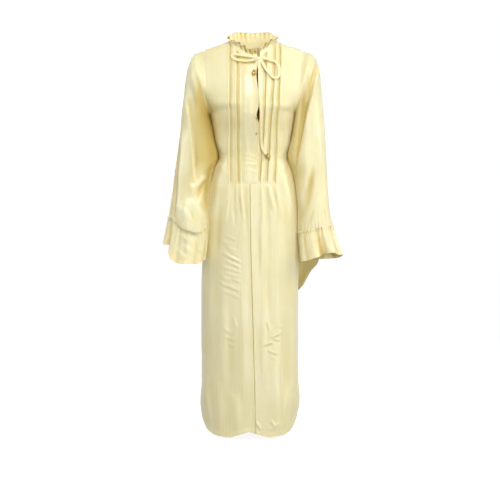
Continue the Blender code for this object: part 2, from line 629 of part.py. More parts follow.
# Butterfly wing: lines from the back panel to the sleeve's back, then to the free lower edge
def wing(side):
    sign = 1 if side == "right" else -1
    surface, _, count = sleeve_surface(side)
    free = WING_FREE_EDGE[side]
    foot = WING_FOOT[side]
    turn = math.radians(WING_SLEEVE_ANGLE)
    on_sleeve = np.linspace(WING_SLEEVE_START, count - 1.0, 9)
    angle = np.full(on_sleeve.shape, turn)
    seat = surface(angle, on_sleeve)
    seat = seat + surface_normal(surface, angle, on_sleeve, sign) * WING_LIFT
    tail = np.array([(sign * p[0], p[2], p[1]) for p in free])
    outer_edge = np.concatenate([seat, tail])
    rows = len(outer_edge)
    upper = np.linspace(WING_TOP, WING_MIDDLE, len(seat))
    levels = np.concatenate([upper, np.linspace(WING_MIDDLE, foot, len(tail) + 1)[1:]])
    lean = math.radians(WING_BODY_ANGLE)
    half = column(BODY_SECTIONS, 2, levels)
    centre = column(BODY_SECTIONS, 1, levels)
    x = centre + sign * half * math.cos(lean)
    inner_edge = body_point(x, levels, 1)
    stand_off = WING_LIFT + np.maximum(back_wave(np.full(levels.shape, math.cos(lean)), levels), 0)
    inner_edge = inner_edge + body_normal(inner_edge, 1) * stand_off[:, None]
    across = np.linspace(0, 1, WING_COLUMNS)[None, :, None]
    grid = inner_edge[:, None, :] + (outer_edge - inner_edge)[:, None, :] * across
    belly = np.sin(np.pi * across[..., 0]) * np.linspace(*WING_BELLY, rows)[:, None]
    ripples = WING_RIPPLE * np.sin(4 * np.pi * across[..., 0]) * np.linspace(0, 1, rows)[:, None]
    grid[..., 1] += belly + ripples
    thick = np.array([0, CLOTH, 0])
    return wall("wing_" + side, grid + thick, grid)


# The neckline as a closed curve: angle 0 at the centre front, 90 at the right side, 180 behind
def neckline(angle):
    share = np.abs(np.sin(angle))
    front = np.cos(angle) >= 0
    top = PANEL_TOP_ROWS[0]
    centre_z = np.where(front, top[2], top[3])
    z = centre_z + (top[0] - centre_z) * share ** NECK_RISE_POWER
    x = np.sin(angle) * BODY_SECTIONS[0][2]
    ahead = body_point(x, z, -1)
    behind = body_point(x, z, 1)
    return np.where(front[..., None], ahead, behind)


# Angle about the neck of the slit at the centre front
def slit_angle():
    return math.asin((PLACKET_SLIT + 0.0015) / BODY_SECTIONS[0][2])


def collar_angles(count):
    start = slit_angle() + math.radians(COLLAR_GAP_ANGLE)
    return np.linspace(start, start + 2 * math.pi - 2 * math.radians(COLLAR_GAP_ANGLE), count)


def stand_top(angle):
    base = neckline(angle)
    height = around_neck(STAND_HEIGHT, angle)
    return np.stack([base[..., 0] * STAND_TAPER, base[..., 1] * STAND_TAPER, base[..., 2] + height], axis=-1)


# A height that changes round the neck: in front, more behind, less at the sides
def around_neck(heights, angle):
    front, behind, side = heights
    return front + behind * (1 - np.cos(angle)) / 2 + side * np.sin(angle) ** 2


# Level direction away from the neck's middle
def neck_outward(points):
    flat = points * np.array([1.0, 1.0, 0.0])
    return flat / np.maximum(np.linalg.norm(flat, axis=-1, keepdims=True), 1e-9)


def collar_stand():
    angle = collar_angles(41)
    base = neckline(angle)
    base = base + np.array([0, 0, STAND_LIFT])
    top = stand_top(angle)
    outer = np.array([base, (base + top) / 2, top])
    inner = outer - neck_outward(outer) * CLOTH
    return wall("collar_stand", outer, inner)


# Height and lean of the ruffle change round the neck, its waves grow towards the free rim
def ruffle_surface(angle, t):
    angle = np.asarray(angle, float)
    t = np.asarray(t, float)
    behind = (1 - np.cos(angle)) / 2
    start = slit_angle()
    away = np.minimum(angle - start, start + 2 * math.pi - angle)
    taper = RUFFLE_END + (1 - RUFFLE_END) * np.clip(away / RUFFLE_END_ANGLE, 0, 1)
    foot = stand_top(angle)
    outward = neck_outward(foot)
    height = around_neck(RUFFLE_HEIGHT, angle) * taper
    lean = RUFFLE_LEAN_FRONT + (RUFFLE_LEAN_BACK - RUFFLE_LEAN_FRONT) * behind
    rise = height * np.sin(t * RUFFLE_CURVE) / math.sin(RUFFLE_CURVE) + RUFFLE_LIFT
    return foot + rise[..., None] * np.array([0, 0, 1.0]) + outward * (lean * t ** RUFFLE_FLARE)[..., None]


def collar_ruffle():
    angles = collar_angles(RUFFLE_COLUMNS)
    angle, t = np.meshgrid(angles, np.array([0.0, 0.5, 1.0]))
    base = ruffle_surface(angle, t)
    outward = neck_outward(base)
    uneven = RUFFLE_UNEVEN * np.sin(3 * angle)
    depth = RUFFLE_WAVE * (RUFFLE_FOOT_SHARE + (1 - RUFFLE_FOOT_SHARE) * t)
    wave = depth * np.cos(angle * RUFFLE_GATHERS + uneven)
    outer = base + outward * wave[..., None]
    inner = base + outward * (wave - CLOTH)[..., None]
    return wall("collar_ruffle", outer, inner)


# Tie routes: points named by x and height, laid on the front's surface and moved off it
def tie_points(name):
    route = np.array(TIE_ROUTES[name])
    x, z, off = route.T
    base = body_point(x, z, -1)
    return base + body_normal(base, -1) * off[:, None]


# Evenly spaced points of one smooth curve through the route's points
def smooth_route(points, count):
    steps = np.linalg.norm(np.diff(points, axis=0), axis=1)
    run = np.concatenate([[0], np.cumsum(steps)])
    slopes = np.gradient(points, run, axis=0)
    at = np.linspace(0, run[-1], count)
    k = np.clip(np.searchsorted(run, at, side="right") - 1, 0, len(run) - 2)
    h = (run[k + 1] - run[k])[:, None]
    t = ((at - run[k])[:, None]) / h
    return ((1 + 2 * t) * (1 - t) ** 2 * points[k] + t * (1 - t) ** 2 * h * slopes[k]
            + t * t * (3 - 2 * t) * points[k + 1] + t * t * (t - 1) * h * slopes[k + 1])


def tie_tube(name):
    points = smooth_route(tie_points(name), TIE_POINTS[name])
    curve = bpy.data.curves.new(name, "CURVE")
    curve.dimensions = "3D"
    curve.bevel_depth = TIE_DIAMETER / 2
    curve.bevel_resolution = 2
    curve.use_fill_caps = True
    spline = curve.splines.new("POLY")
    spline.points.add(len(points) - 1)
    for place, point in zip(spline.points, points):
        place.co = (point[0], point[1], point[2], 1.0)
    curve.materials.append(material(SATIN))
    thing = bpy.data.objects.new(name, curve)
    bpy.context.collection.objects.link(thing)
    return points


# A closed turned form: rings of given radii along an axis, closed by flat ends
def turned(name, start, axis, profile, finish, sides=12, stretch=(1, 1)):
    axis = np.asarray(axis, float)
    axis = axis / np.linalg.norm(axis)
    helper = np.array([0, 1.0, 0]) if abs(axis[1]) < 0.8 else np.array([0, 0, 1.0])
    first = np.cross(helper, axis)
    first = first / np.linalg.norm(first)
    second = np.cross(axis, first)
    verts = []
    for along, radius in profile:
        for k in range(sides):
            turn = 2 * math.pi * k / sides
            side = stretch[0] * math.cos(turn) * first + stretch[1] * math.sin(turn) * second
            verts.append(start + axis * along + radius * side)
    faces = []
    for r in range(len(profile) - 1):
        for k in range(sides):
            a, b = r * sides + k, r * sides + (k + 1) % sides
            faces.append((a, b, b + sides, a + sides))
    faces.append(tuple(reversed(range(sides))))
    last = (len(profile) - 1) * sides
    faces.append(tuple(range(last, last + sides)))
    mesh = bpy.data.meshes.new(name)
    mesh.from_pydata([tuple(v) for v in verts], [], faces)
    mesh.update()
    mesh.shade_smooth()
    mesh.set_sharp_from_angle(angle=math.radians(50))
    mesh.materials.append(material(finish))
    thing = bpy.data.objects.new(name, mesh)
    bpy.context.collection.objects.link(thing)
    return thing


# Bell shaped gold tip at the end of a tie
def bead(name, points):
    axis = points[-1] - points[-2]
    axis = axis / np.linalg.norm(axis)
    length, radius = BEAD_LENGTH, BEAD_RADIUS
    profile = ((0.0, radius * 0.55), (length * 0.12, radius * 0.72), (length * 0.22, radius * 0.55),
               (length * 0.40, radius * 0.85), (length * 0.62, radius), (length * 0.85, radius * 0.95),
               (length * 0.96, radius * 0.70), (length, radius * 0.35))
    turned(name, points[-1] + axis * SEAM_GAP, axis, profile, GOLD)


def knot():
    wide, deep, tall = KNOT_SIZE
    profile = ((-tall, 0.35), (-tall * 0.75, 0.80), (-tall * 0.3, 1.0), (tall * 0.3, 1.0),
               (tall * 0.75, 0.80), (tall, 0.35))
    centre = np.array(KNOT_CENTRE)
    turned("tie_knot", centre, (0, 0, 1), profile, SATIN, 14, (wide, deep))


def button(name, z):
    base = body_point(np.array(BUTTON_X), np.array(z), -1)
    normal = body_normal(base, -1)
    lift = float(slit_lift(BUTTON_X, z))
    start = base + normal * (PLACKET_LIFT + CLOTH + lift + 3 * SEAM_GAP)
    thick, radius = BUTTON_THICKNESS, BUTTON_RADIUS
    profile = ((0, radius * 0.8), (thick * 0.35, radius), (thick * 0.7, radius * 0.9), (thick, radius * 0.45))
    turned(name, start, normal, profile, SATIN, 12)


def main():
    clear_scene()
    for side in ("left", "right"):
        front_panel(side)
        sleeve_half(side, "front")
        sleeve_half(side, "back")
        wing(side)
        cuff_ruffle(side)
    back_panel()
    placket()
    collar_stand()
    collar_ruffle()
    knot()
    for name in TIE_ROUTES:
        points = tie_tube(name)
        if name.startswith("tie_end"):
            bead(name.replace("tie_end", "bead"), points)
    for name, z in zip(("button_upper", "button_lower"), BUTTON_HEIGHTS):
        button(name, z)


main()
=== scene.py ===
# Butterfly abaya in butter yellow satin: cloth surfaces, finishes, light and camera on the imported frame
# Metres, +Z up, front towards -Y, +X towards the viewer's right
import math

import bpy
import numpy as np
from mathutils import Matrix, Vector


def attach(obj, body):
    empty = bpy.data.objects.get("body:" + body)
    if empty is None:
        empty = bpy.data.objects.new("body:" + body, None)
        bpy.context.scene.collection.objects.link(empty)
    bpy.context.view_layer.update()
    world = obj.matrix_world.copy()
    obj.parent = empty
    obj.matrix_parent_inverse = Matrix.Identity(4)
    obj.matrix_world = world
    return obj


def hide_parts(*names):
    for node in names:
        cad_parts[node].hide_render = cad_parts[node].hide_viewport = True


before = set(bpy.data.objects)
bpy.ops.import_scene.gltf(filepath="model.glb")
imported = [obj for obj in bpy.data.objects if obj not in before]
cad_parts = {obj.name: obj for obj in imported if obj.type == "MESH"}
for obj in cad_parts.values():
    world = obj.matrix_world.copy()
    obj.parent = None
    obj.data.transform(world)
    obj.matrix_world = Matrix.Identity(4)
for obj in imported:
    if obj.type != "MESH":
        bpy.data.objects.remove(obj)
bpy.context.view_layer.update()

print("frame loaded:", len(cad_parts), "nodes")

# Camera: level, in front of the garment, 3.6 mm to a pixel at the origin's plane
camera = {
    "place": (-0.009, -4.5, -0.7146),
    "lens": 90.0,
    "sensor": 36.0,
}

# Lights: place, target, size, power, colour
lights = {
    "right": ((3.1, -0.8, 0.9), (0.0, 0.0, -0.60), 1.2, 38.0, (1.0, 0.99, 0.97)),
    "left": ((-3.1, -0.8, 0.8), (0.0, 0.0, -0.60), 1.2, 28.0, (1.0, 0.995, 0.98)),
    "top": ((0.35, -2.4, 1.65), (0.0, 0.0, -0.35), 0.8, 54.0, (1.0, 1.0, 1.0)),
    "front": ((0.3, -4.4, -0.5), (0.0, 0.0, -0.95), 1.6, 42.0, (1.0, 1.0, 1.0)),
    "low": ((1.8, -1.9, -1.1), (0.22, 0.0, -0.82), 0.6, 11.0, (1.0, 1.0, 1.0)),
    "behind": ((-1.0, 3.4, 0.5), (0.0, 0.0, -0.7), 1.4, 100.0, (1.0, 0.995, 0.98)),
}
# The studio is a pale bowl: flat floor, rounded rise and wall, all round so that every view sees it
studio = {
    "worldColour": (1.0, 1.0, 1.0, 1.0),
    "worldStrength": 0.25,
    "floorHeight": -1.402,
    # the bowl's outline: radius, height above the floor
    "bowl": ((0.6, 0.0), (2.0, 0.0), (4.9, 0.0), (5.5, 0.08), (6.1, 0.40), (6.5, 1.0), (6.7, 2.0), (6.8, 4.0),
             (6.8, 7.5)),
    "bowlRows": 64,
    "bowlSides": 96,
    "floorColour": (0.30, 0.30, 0.30, 1.0),
    "floorRoughness": 0.9,
    "glowColour": (1.0, 1.0, 1.0, 1.0),
    "glow": 0.90,                           # the bowl's own even light, seen by the camera alone
    "exposure": 0.0,
}

sideSign = {"left": -1, "right": 1}         # the viewer's left is the side of negative x

# The body's oval sections, from the neck's side down to the hem
# height, centre x, half width, front depth, back depth
bodyRound = 2.3
bodySections = (
    (0.013, 0.000, 0.090, 0.056, 0.052),
    (0.003, 0.000, 0.117, 0.061, 0.057),
    (-0.007, 0.000, 0.145, 0.065, 0.063),
    (-0.0175, 0.000, 0.175, 0.069, 0.070),
    (-0.050, 0.000, 0.195, 0.079, 0.086),
    (-0.100, 0.000, 0.205, 0.098, 0.100),
    (-0.150, 0.000, 0.203, 0.114, 0.108),
    (-0.200, 0.000, 0.182, 0.125, 0.111),
    (-0.245, 0.001, 0.150, 0.128, 0.111),
    (-0.280, 0.001, 0.144, 0.120, 0.109),
    (-0.320, 0.001, 0.138, 0.108, 0.106),
    (-0.360, 0.001, 0.131, 0.098, 0.104),
    (-0.403, 0.001, 0.1215, 0.093, 0.103),
    (-0.440, 0.001, 0.138, 0.095, 0.106),
    (-0.475, 0.001, 0.149, 0.099, 0.110),
    (-0.520, 0.000, 0.158, 0.104, 0.114),
    (-0.580, 0.000, 0.164, 0.108, 0.118),
    (-0.640, 0.000, 0.167, 0.110, 0.121),
    (-0.720, -0.003, 0.168, 0.112, 0.123),
    (-0.800, -0.009, 0.1735, 0.113, 0.124),
    (-0.900, -0.010, 0.1745, 0.114, 0.125),
    (-1.050, -0.010, 0.1745, 0.115, 0.126),
    (-1.200, -0.009, 0.1750, 0.117, 0.128),
    (-1.260, -0.009, 0.1790, 0.118, 0.129),
    (-1.330, -0.011, 0.1725, 0.119, 0.130),
    (-1.400, -0.012, 0.1640, 0.120, 0.131),
)

# Rows of a body panel above the waist: edge height, edge share, centre height in front, behind
panelTopRows = (
    (0.013, 1.000, -0.057, 0.000),
    (0.003, 1.000, -0.068, -0.014),
    (-0.007, 1.000, -0.082, -0.032),
    (-0.0175, 1.000, -0.100, -0.055),
    (-0.0255, 0.965, -0.108, -0.068),
    (-0.050, 0.890, -0.122, -0.085),
    (-0.088, 0.815, -0.146, -0.115),
    (-0.125, 0.785, -0.168, -0.146),
    (-0.162, 0.785, -0.192, -0.178),
    (-0.200, 0.830, -0.215, -0.208),
    (-0.226, 0.905, -0.231, -0.229),
    (-0.240, 0.970, -0.241, -0.240),
    (-0.245, 1.000, -0.247, -0.247),
)
shoulderRow = 3             # the row at the shoulder's tip, where the armhole starts
neckRisePower = 1.7
hemStart = -1.240

# The rounded hem: share of the half width, height in front, height behind
hemCurve = (
    (0.00, -1.3720, -1.388),
    (0.20, -1.3820, -1.390),
    (0.45, -1.3915, -1.391),
    (0.70, -1.3870, -1.387),
    (0.87, -1.3720, -1.372),
    (0.97, -1.3350, -1.335),
    (1.00, -1.2850, -1.285),
)

# Centre front seam: height, x
centreSeam = ((-0.057, -0.0070), (-0.500, -0.0095), (-0.700, -0.0070), (-0.960, 0.0000), (-1.390, 0.0115))


# Smooth curve through a table's points: cubic pieces whose slopes never overshoot
def smoothTable(xs, ys, at):
    xs = np.asarray(xs, float)
    ys = np.asarray(ys, float)
    if xs[0] > xs[-1]:
        xs = xs[::-1]
        ys = ys[::-1]
    steps = np.diff(xs)
    rise = np.diff(ys) / steps
    slopes = np.zeros(len(xs))
    same = rise[:-1] * rise[1:] > 0
    slopes[1:-1] = np.where(same, 2 * rise[:-1] * rise[1:] / np.where(same, rise[:-1] + rise[1:], 1), 0)
    slopes[0] = rise[0]
    slopes[-1] = rise[-1]
    at = np.clip(np.asarray(at, float), xs[0], xs[-1])
    k = np.clip(np.searchsorted(xs, at, side="right") - 1, 0, len(xs) - 2)
    t = (at - xs[k]) / steps[k]
    a = (1 + 2 * t) * (1 - t) ** 2 * ys[k] + t * (1 - t) ** 2 * steps[k] * slopes[k]
    b = t * t * (3 - 2 * t) * ys[k + 1] + t * t * (t - 1) * steps[k] * slopes[k + 1]
    return a + b


# The same through the first column of a table and another of its columns
def tableColumn(table, index, at):
    return smoothTable([row[0] for row in table], [row[index] for row in table], at)


# A soft bump round a centre: e to the minus square of the distance in half widths
def bell(at, centre, half):
    return np.exp(-((at - centre) / half) ** 2)


# A straight climb from 0 at its start to 1 a span further; with a negative span it climbs backwards
def climb(at, start, span):
    return np.clip((at - start) / span, 0, 1)


# Smooth step of a share from 0 to 1: three times its square less twice its cube
def smoothStep(share):
    return share * share * (3 - 2 * share)


# Vectors scaled to length one
def unit(vectors, least=1e-9):
    return vectors / np.maximum(np.linalg.norm(vectors, axis=-1, keepdims=True), least)


# The body's surface at x and height z: |x / half width|^n + |y / depth|^n = 1
def bodyPoint(x, z, face):
    x = np.asarray(x, float)
    z = np.asarray(z, float)
    centre = tableColumn(bodySections, 1, z)
    half = tableColumn(bodySections, 2, z)
    depth = tableColumn(bodySections, 3 if face < 0 else 4, z)
    across = np.clip(np.abs((x - centre) / half), 0, 1)
    y = face * depth * (1 - across ** bodyRound) ** (1 / bodyRound)
    return np.stack([x, y, z], axis=-1)


# Outward direction of that surface, the gradient of the same formula by small steps
def bodyNormal(points, face):
    x, y, z = points[..., 0], points[..., 1], points[..., 2]
    index = 3 if face < 0 else 4

    def level(px, py, pz):
        across = np.abs((px - tableColumn(bodySections, 1, pz)) / tableColumn(bodySections, 2, pz))
        along = np.abs(py / tableColumn(bodySections, index, pz))
        return across ** bodyRound + along ** bodyRound

    step = 1e-5
    slope = np.stack([level(x + step, y, z) - level(x - step, y, z),
                      level(x, y + step, z) - level(x, y - step, z),
                      level(x, y, z + step) - level(x, y, z - step)], axis=-1)
    return unit(slope)


# Unit normals of a grid of points: cross product of its two directions, turned away from each row's middle
def gridNormal(grid, ring=False):
    if ring:
        across = np.roll(grid, -1, axis=1) - np.roll(grid, 1, axis=1)
    else:
        across = np.gradient(grid, axis=1)
    normal = unit(np.cross(across, np.gradient(grid, axis=0)), 1e-12)
    outward = grid - grid.mean(axis=1, keepdims=True)
    return normal if (normal * outward).sum() > 0 else -normal


# Where points lie beside a line, seen from the front or back: the share of its length, the distance beside it
def besideLine(x, z, startX, startZ, endX, endZ):
    runX = endX - startX
    runZ = endZ - startZ
    length = math.hypot(runX, runZ)
    along = ((x - startX) * runX + (z - startZ) * runZ) / length ** 2
    beside = ((x - startX) * runZ - (z - startZ) * runX) / length
    return along, beside


foldForm = {
    "dip": 0.25,                # depth of the dip beside a fold, as a share of the fold's height
    "dipPlace": 1.9,            # where the dip lies and its half width, in widths of the fold
    "dipWidth": 1.3,
    "fade": 0.7,                # power of the sine that lets a fold fade at its ends
}


# Soft folds on a surface seen from the front or back: each runs straight or bowed between two ends,
# a rounded bump across with a shallow dip on its lower side, fading at both ends
# x and height of one end, x and height of the other, width, height (a trough is negative), bow, in mm
def foldRelief(points, folds):
    relief = np.zeros(points.shape[:-1])
    x = points[..., 0] * 1000
    z = points[..., 2] * 1000
    for *ends, width, height, bow in folds:
        along, beside = besideLine(x, z, *ends)
        inside = np.clip(along, 0, 1)
        beside = beside - bow * 4 * inside * (1 - inside)
        dip = foldForm["dip"] * bell(beside, foldForm["dipPlace"] * width, foldForm["dipWidth"] * width)
        fade = np.sin(np.pi * inside) ** foldForm["fade"]
        relief += height * (bell(beside, 0, width) - dip) * fade / 1000
    return relief


ledgeForm = {
    "edge": 2.2,                # half width of the step in mm
    "steep": 2.5,
    "hollow": 0.35,             # depth of the hollow before the step, as a share of the fold's height
    "hollowPlace": 3.2,         # where the hollow lies and its half width, in half widths of the step
    "hollowWidth": 2.4,
    "ends": 0.18,               # share of the length over which the fold fades at each end
    "shadeReach": 30,           # how far the shade reaches on the low side, in mm
    "fullShade": 8,             # a fold of this height in mm shades fully
}


# Folds with one crisp edge: the cloth steps up at the line and sinks back slowly on its raised side
# It also returns a shade from 0 to 1 for the low side, strongest at the step
# x and height of one end, x and height of the other, height, reach of the raised side (negative: to -x),
# bow, in mm
def ledgeRelief(points, ledges):
    edge = ledgeForm["edge"]
    relief = np.zeros(points.shape[:-1])
    shade = np.zeros(points.shape[:-1])
    x = points[..., 0] * 1000
    z = points[..., 2] * 1000
    for *ends, height, reach, bow in ledges:
        along, beside = besideLine(x, z, *ends)
        inside = np.clip(along, 0, 1)
        away = (-beside - bow * 4 * inside * (1 - inside)) * np.sign(reach)
        step = 1 / (1 + np.exp(-np.clip(away / edge, -30, 30) * ledgeForm["steep"]))
        body = step * np.exp(-np.maximum(away, 0) / abs(reach))
        hollow = bell(away, -ledgeForm["hollowPlace"] * edge, ledgeForm["hollowWidth"] * edge)
        fade = smoothStep(climb(np.minimum(along, 1 - along), 0, ledgeForm["ends"]))
        relief += height * (body - ledgeForm["hollow"] * hollow) * fade / 1000
        lowSide = (1 - step) * bell(np.minimum(away, 0), 0, ledgeForm["shadeReach"])
        shade += min(height / ledgeForm["fullShade"], 1) * lowSide * fade
    return relief, np.clip(shade, 0, 1)


driftForm = {
    # radians to a metre across and upwards, shift; each next wave is weaker
    "waves": ((31, 9, 0.0), (-17, 14, 1.9), (52, -21, 3.1), (11, 33, 4.4), (73, 18, 5.2)),
    "weaker": 0.5,
    "seedStep": 1.7,
    "whole": 2.4,               # about how high the sum of the waves is
}


# Uneven ground of hanging cloth: a few long waves of unlike length added together
def drift(x, z, seed, size):
    total = np.zeros(np.broadcast(x, z).shape)
    for number, (alongX, alongZ, shift) in enumerate(driftForm["waves"]):
        wave = np.sin(alongX * x + alongZ * z + shift + seed * (number + driftForm["seedStep"]))
        total += wave / (1 + driftForm["weaker"] * number)
    return total * size / driftForm["whole"]


# Distances over the grid in metres, the same along each row and column, so that a weave follows the cloth
def clothUv(grid, ring=False):
    closed = np.concatenate([grid, grid[:, :1]], axis=1) if ring else grid
    across = np.linalg.norm(np.diff(closed, axis=1), axis=-1).mean(axis=0)
    down = np.linalg.norm(np.diff(grid, axis=0), axis=-1).mean(axis=1)
    u = np.concatenate([[0], np.cumsum(across)])
    v = np.concatenate([[0], np.cumsum(down)])
    return np.stack(np.meshgrid(u, v), -1)


# Faces between the rows of a grid whose points are numbered row by row; a ring's last column joins its first
def gridFaces(rows, cols, spans):
    r, c = np.meshgrid(np.arange(rows - 1), np.arange(spans), indexing="ij")
    nextC = (c + 1) % cols
    faces = np.stack([r * cols + c, (r + 1) * cols + c, (r + 1) * cols + nextC, r * cols + nextC], -1)
    return faces.reshape(-1, 4)


# UVs at the four corners of those faces, in the same order
def cellCorners(uv):
    return np.stack([uv[:-1, :-1], uv[1:, :-1], uv[1:, 1:], uv[:-1, 1:]], 2).reshape(-1, 4, 2)


# Painted shade of a fold, from 0 to 1: the share of a reach that the cloth sinks below its smooth form
def paintedFoldShade(relief, reach):
    return np.clip(-relief / reach, 0, 1)


# A closed thin wall between an outer grid and the same grid moved inwards, with its rims;
# depth is painted shade: it darkens the cloth's colour where folds lie deep, on the outer side and on the inner
def clothWall(name, outer, thickness, ring=False, normal=None, depth=0.0, innerPaintedShade=None):
    rows, cols = outer.shape[:2]
    if normal is None:
        normal = gridNormal(outer, ring)
    thick = np.broadcast_to(np.asarray(thickness, float), (rows, cols))
    inner = outer - normal * thick[..., None]
    verts = np.concatenate([outer.reshape(-1, 3), inner.reshape(-1, 3)])
    count = rows * cols
    spans = cols if ring else cols - 1
    cells = gridFaces(rows, cols, spans)
    top = np.arange(spans)
    topNext = (top + 1) % cols
    low = top + (rows - 1) * cols
    lowNext = topNext + (rows - 1) * cols
    rims = [np.stack([top, topNext, topNext + count, top + count], -1),
            np.stack([low, low + count, lowNext + count, lowNext], -1)]
    if not ring:
        start = np.arange(rows - 1) * cols
        end = start + cols - 1
        rims.append(np.stack([start, start + count, start + cols + count, start + cols], -1))
        rims.append(np.stack([end, end + cols, end + cols + count, end + count], -1))
    faces = np.concatenate([cells, cells[:, ::-1] + count] + rims)
    uv = clothUv(outer, ring)
    cellUv = cellCorners(uv)
    rimUv = uv[:, :cols].reshape(-1, 2)[np.concatenate(rims) % count]
    made = meshObject(name, verts, faces, np.concatenate([cellUv, cellUv[:, ::-1], rimUv]))
    sides = (depth, depth if innerPaintedShade is None else innerPaintedShade)
    setPaintedShade(made, np.concatenate([np.broadcast_to(side, (rows, cols)).ravel() for side in sides]))
    return made


# Tells each vertex how much painted shade its satin colour gets: darker gold in folds, near black in the slit
def setPaintedShade(made, values):
    layer = made.data.attributes.new("paintedFoldShade", "FLOAT", "POINT")
    layer.data.foreach_set("value", values.astype(np.float32))


# Puts vertices, faces of four corners and their UVs into a mesh, and turns it so that its faces point out
def meshObject(name, verts, faces, faceUv, sharp=40):
    a, b, c, d = (verts[faces[:, k]] for k in range(4))
    volume = np.einsum("ij,ij->", a, np.cross(b, c)) + np.einsum("ij,ij->", a, np.cross(c, d))
    if volume < 0:
        faces = faces[:, ::-1]
        faceUv = faceUv[:, ::-1]
    mesh = bpy.data.meshes.new(name)
    mesh.vertices.add(len(verts))
    mesh.vertices.foreach_set("co", np.ascontiguousarray(verts, np.float32).ravel())
    mesh.loops.add(faces.size)
    mesh.loops.foreach_set("vertex_index", np.ascontiguousarray(faces, np.int32).ravel())
    mesh.polygons.add(len(faces))
    mesh.polygons.foreach_set("loop_start", np.arange(0, faces.size, 4, dtype=np.int32))
    mesh.polygons.foreach_set("loop_total", np.full(len(faces), 4, np.int32))
    mesh.update(calc_edges=True)
    layer = mesh.uv_layers.new(name="cloth")
    layer.data.foreach_set("uv", np.ascontiguousarray(faceUv, np.float32).ravel())
    mesh.shade_smooth()
    mesh.set_sharp_from_angle(angle=math.radians(sharp))
    made = bpy.data.objects.new(name, mesh)
    bpy.context.collection.objects.link(made)
    return made


# Dresses a finished piece: body, slot, material and the solids it stands for
def dress(made, material, nodes):
    made.data.materials.append(material)
    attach(made, "root")
    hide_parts(*nodes)
    return made


# A new material with its node tree and main shader
def newMaterial(name):
    made = bpy.data.materials.new(name)
    made.use_nodes = True
    return made, made.node_tree, made.node_tree.nodes["Principled BSDF"]


def setInputs(node, values):
    for key, value in values.items():
        node.inputs[key].default_value = value


def makeNode(tree, kind, place, inputs=(), **values):
    made = tree.nodes.new(kind)
    made.location = place
    for key, value in values.items():
        setattr(made, key, value)
    setInputs(made, dict(inputs))
    return made


# A value that changes with another: value before and after, and where the change starts and ends
def rangeNode(tree, place, before, after, start, end):
    return makeNode(tree, "ShaderNodeMapRange", place,
                    {"From Min": start, "From Max": end, "To Min": before, "To Max": after})


# A colour ramp between two stops
def rampNode(tree, place, stops, colours):
    made = makeNode(tree, "ShaderNodeValToRGB", place)
    for element, stop, colour in zip(made.color_ramp.elements, stops, colours):
        element.position = stop
        element.color = colour
    return made


# Links nodes by rows: a node and its output, the next node and its input
def linkNodes(tree, rows):
    for start, output, end, into in rows:
        tree.links.new(start.outputs[output], end.inputs[into])


# Satin: slim streaks along the grain, a fine diagonal weave, a soft sheen; with painted shade, deep folds are
# drawn darker gold with less sheen and gloss, and the open slit near black
satinLook = {
    "light": (0.885, 0.790, 0.500, 1.0),
    "deep": (0.805, 0.685, 0.340, 1.0),
    "stops": (0.30, 0.68),                  # of the streaks' values, for the deep colour and the light one
    "fold": (0.600, 0.450, 0.130, 1.0),     # painted shade deep in a fold
    "slitShadeColour": (0.085, 0.045, 0.010, 1.0),     # painted shade inside an open slit
    "darkRange": (1.0, 2.0),                # painted shade values between which the slit's painted shade colour sets in
    "streakScale": (330.0, 7.0, 1.0),
    "streakDetail": 3.0,
    "cloudScale": 9.0,
    "cloudDetail": 2.0,
    "cloudShare": 0.45,                     # of soft clouds in the streaks' values
    "weaveScale": 55.0,
    "weaveStretch": (20.0, 9.0, 20.0),
    "weaveDistortion": 0.6,
    "roughness": 0.36,
    # on open cloth, deep in painted fold shade, and the painted shade values between which it changes
    "sheen": (0.50, 0.02, 0.2, 1.0),
    "specular": (0.6, 0.05, 0.7, 1.6),
    "sheenRoughness": 0.35,
    "sheenTint": (1.0, 0.97, 0.86, 1.0),
    "throughCloth": 0.35,                   # share of the light that spreads through the thin cloth
    "throughReach": 0.004,
    "throughColour": (1.0, 0.72, 0.30),
    # strength, height in metres
    "streakBump": (0.10, 0.0006),
    "weaveBump": (0.06, 0.0002),
}


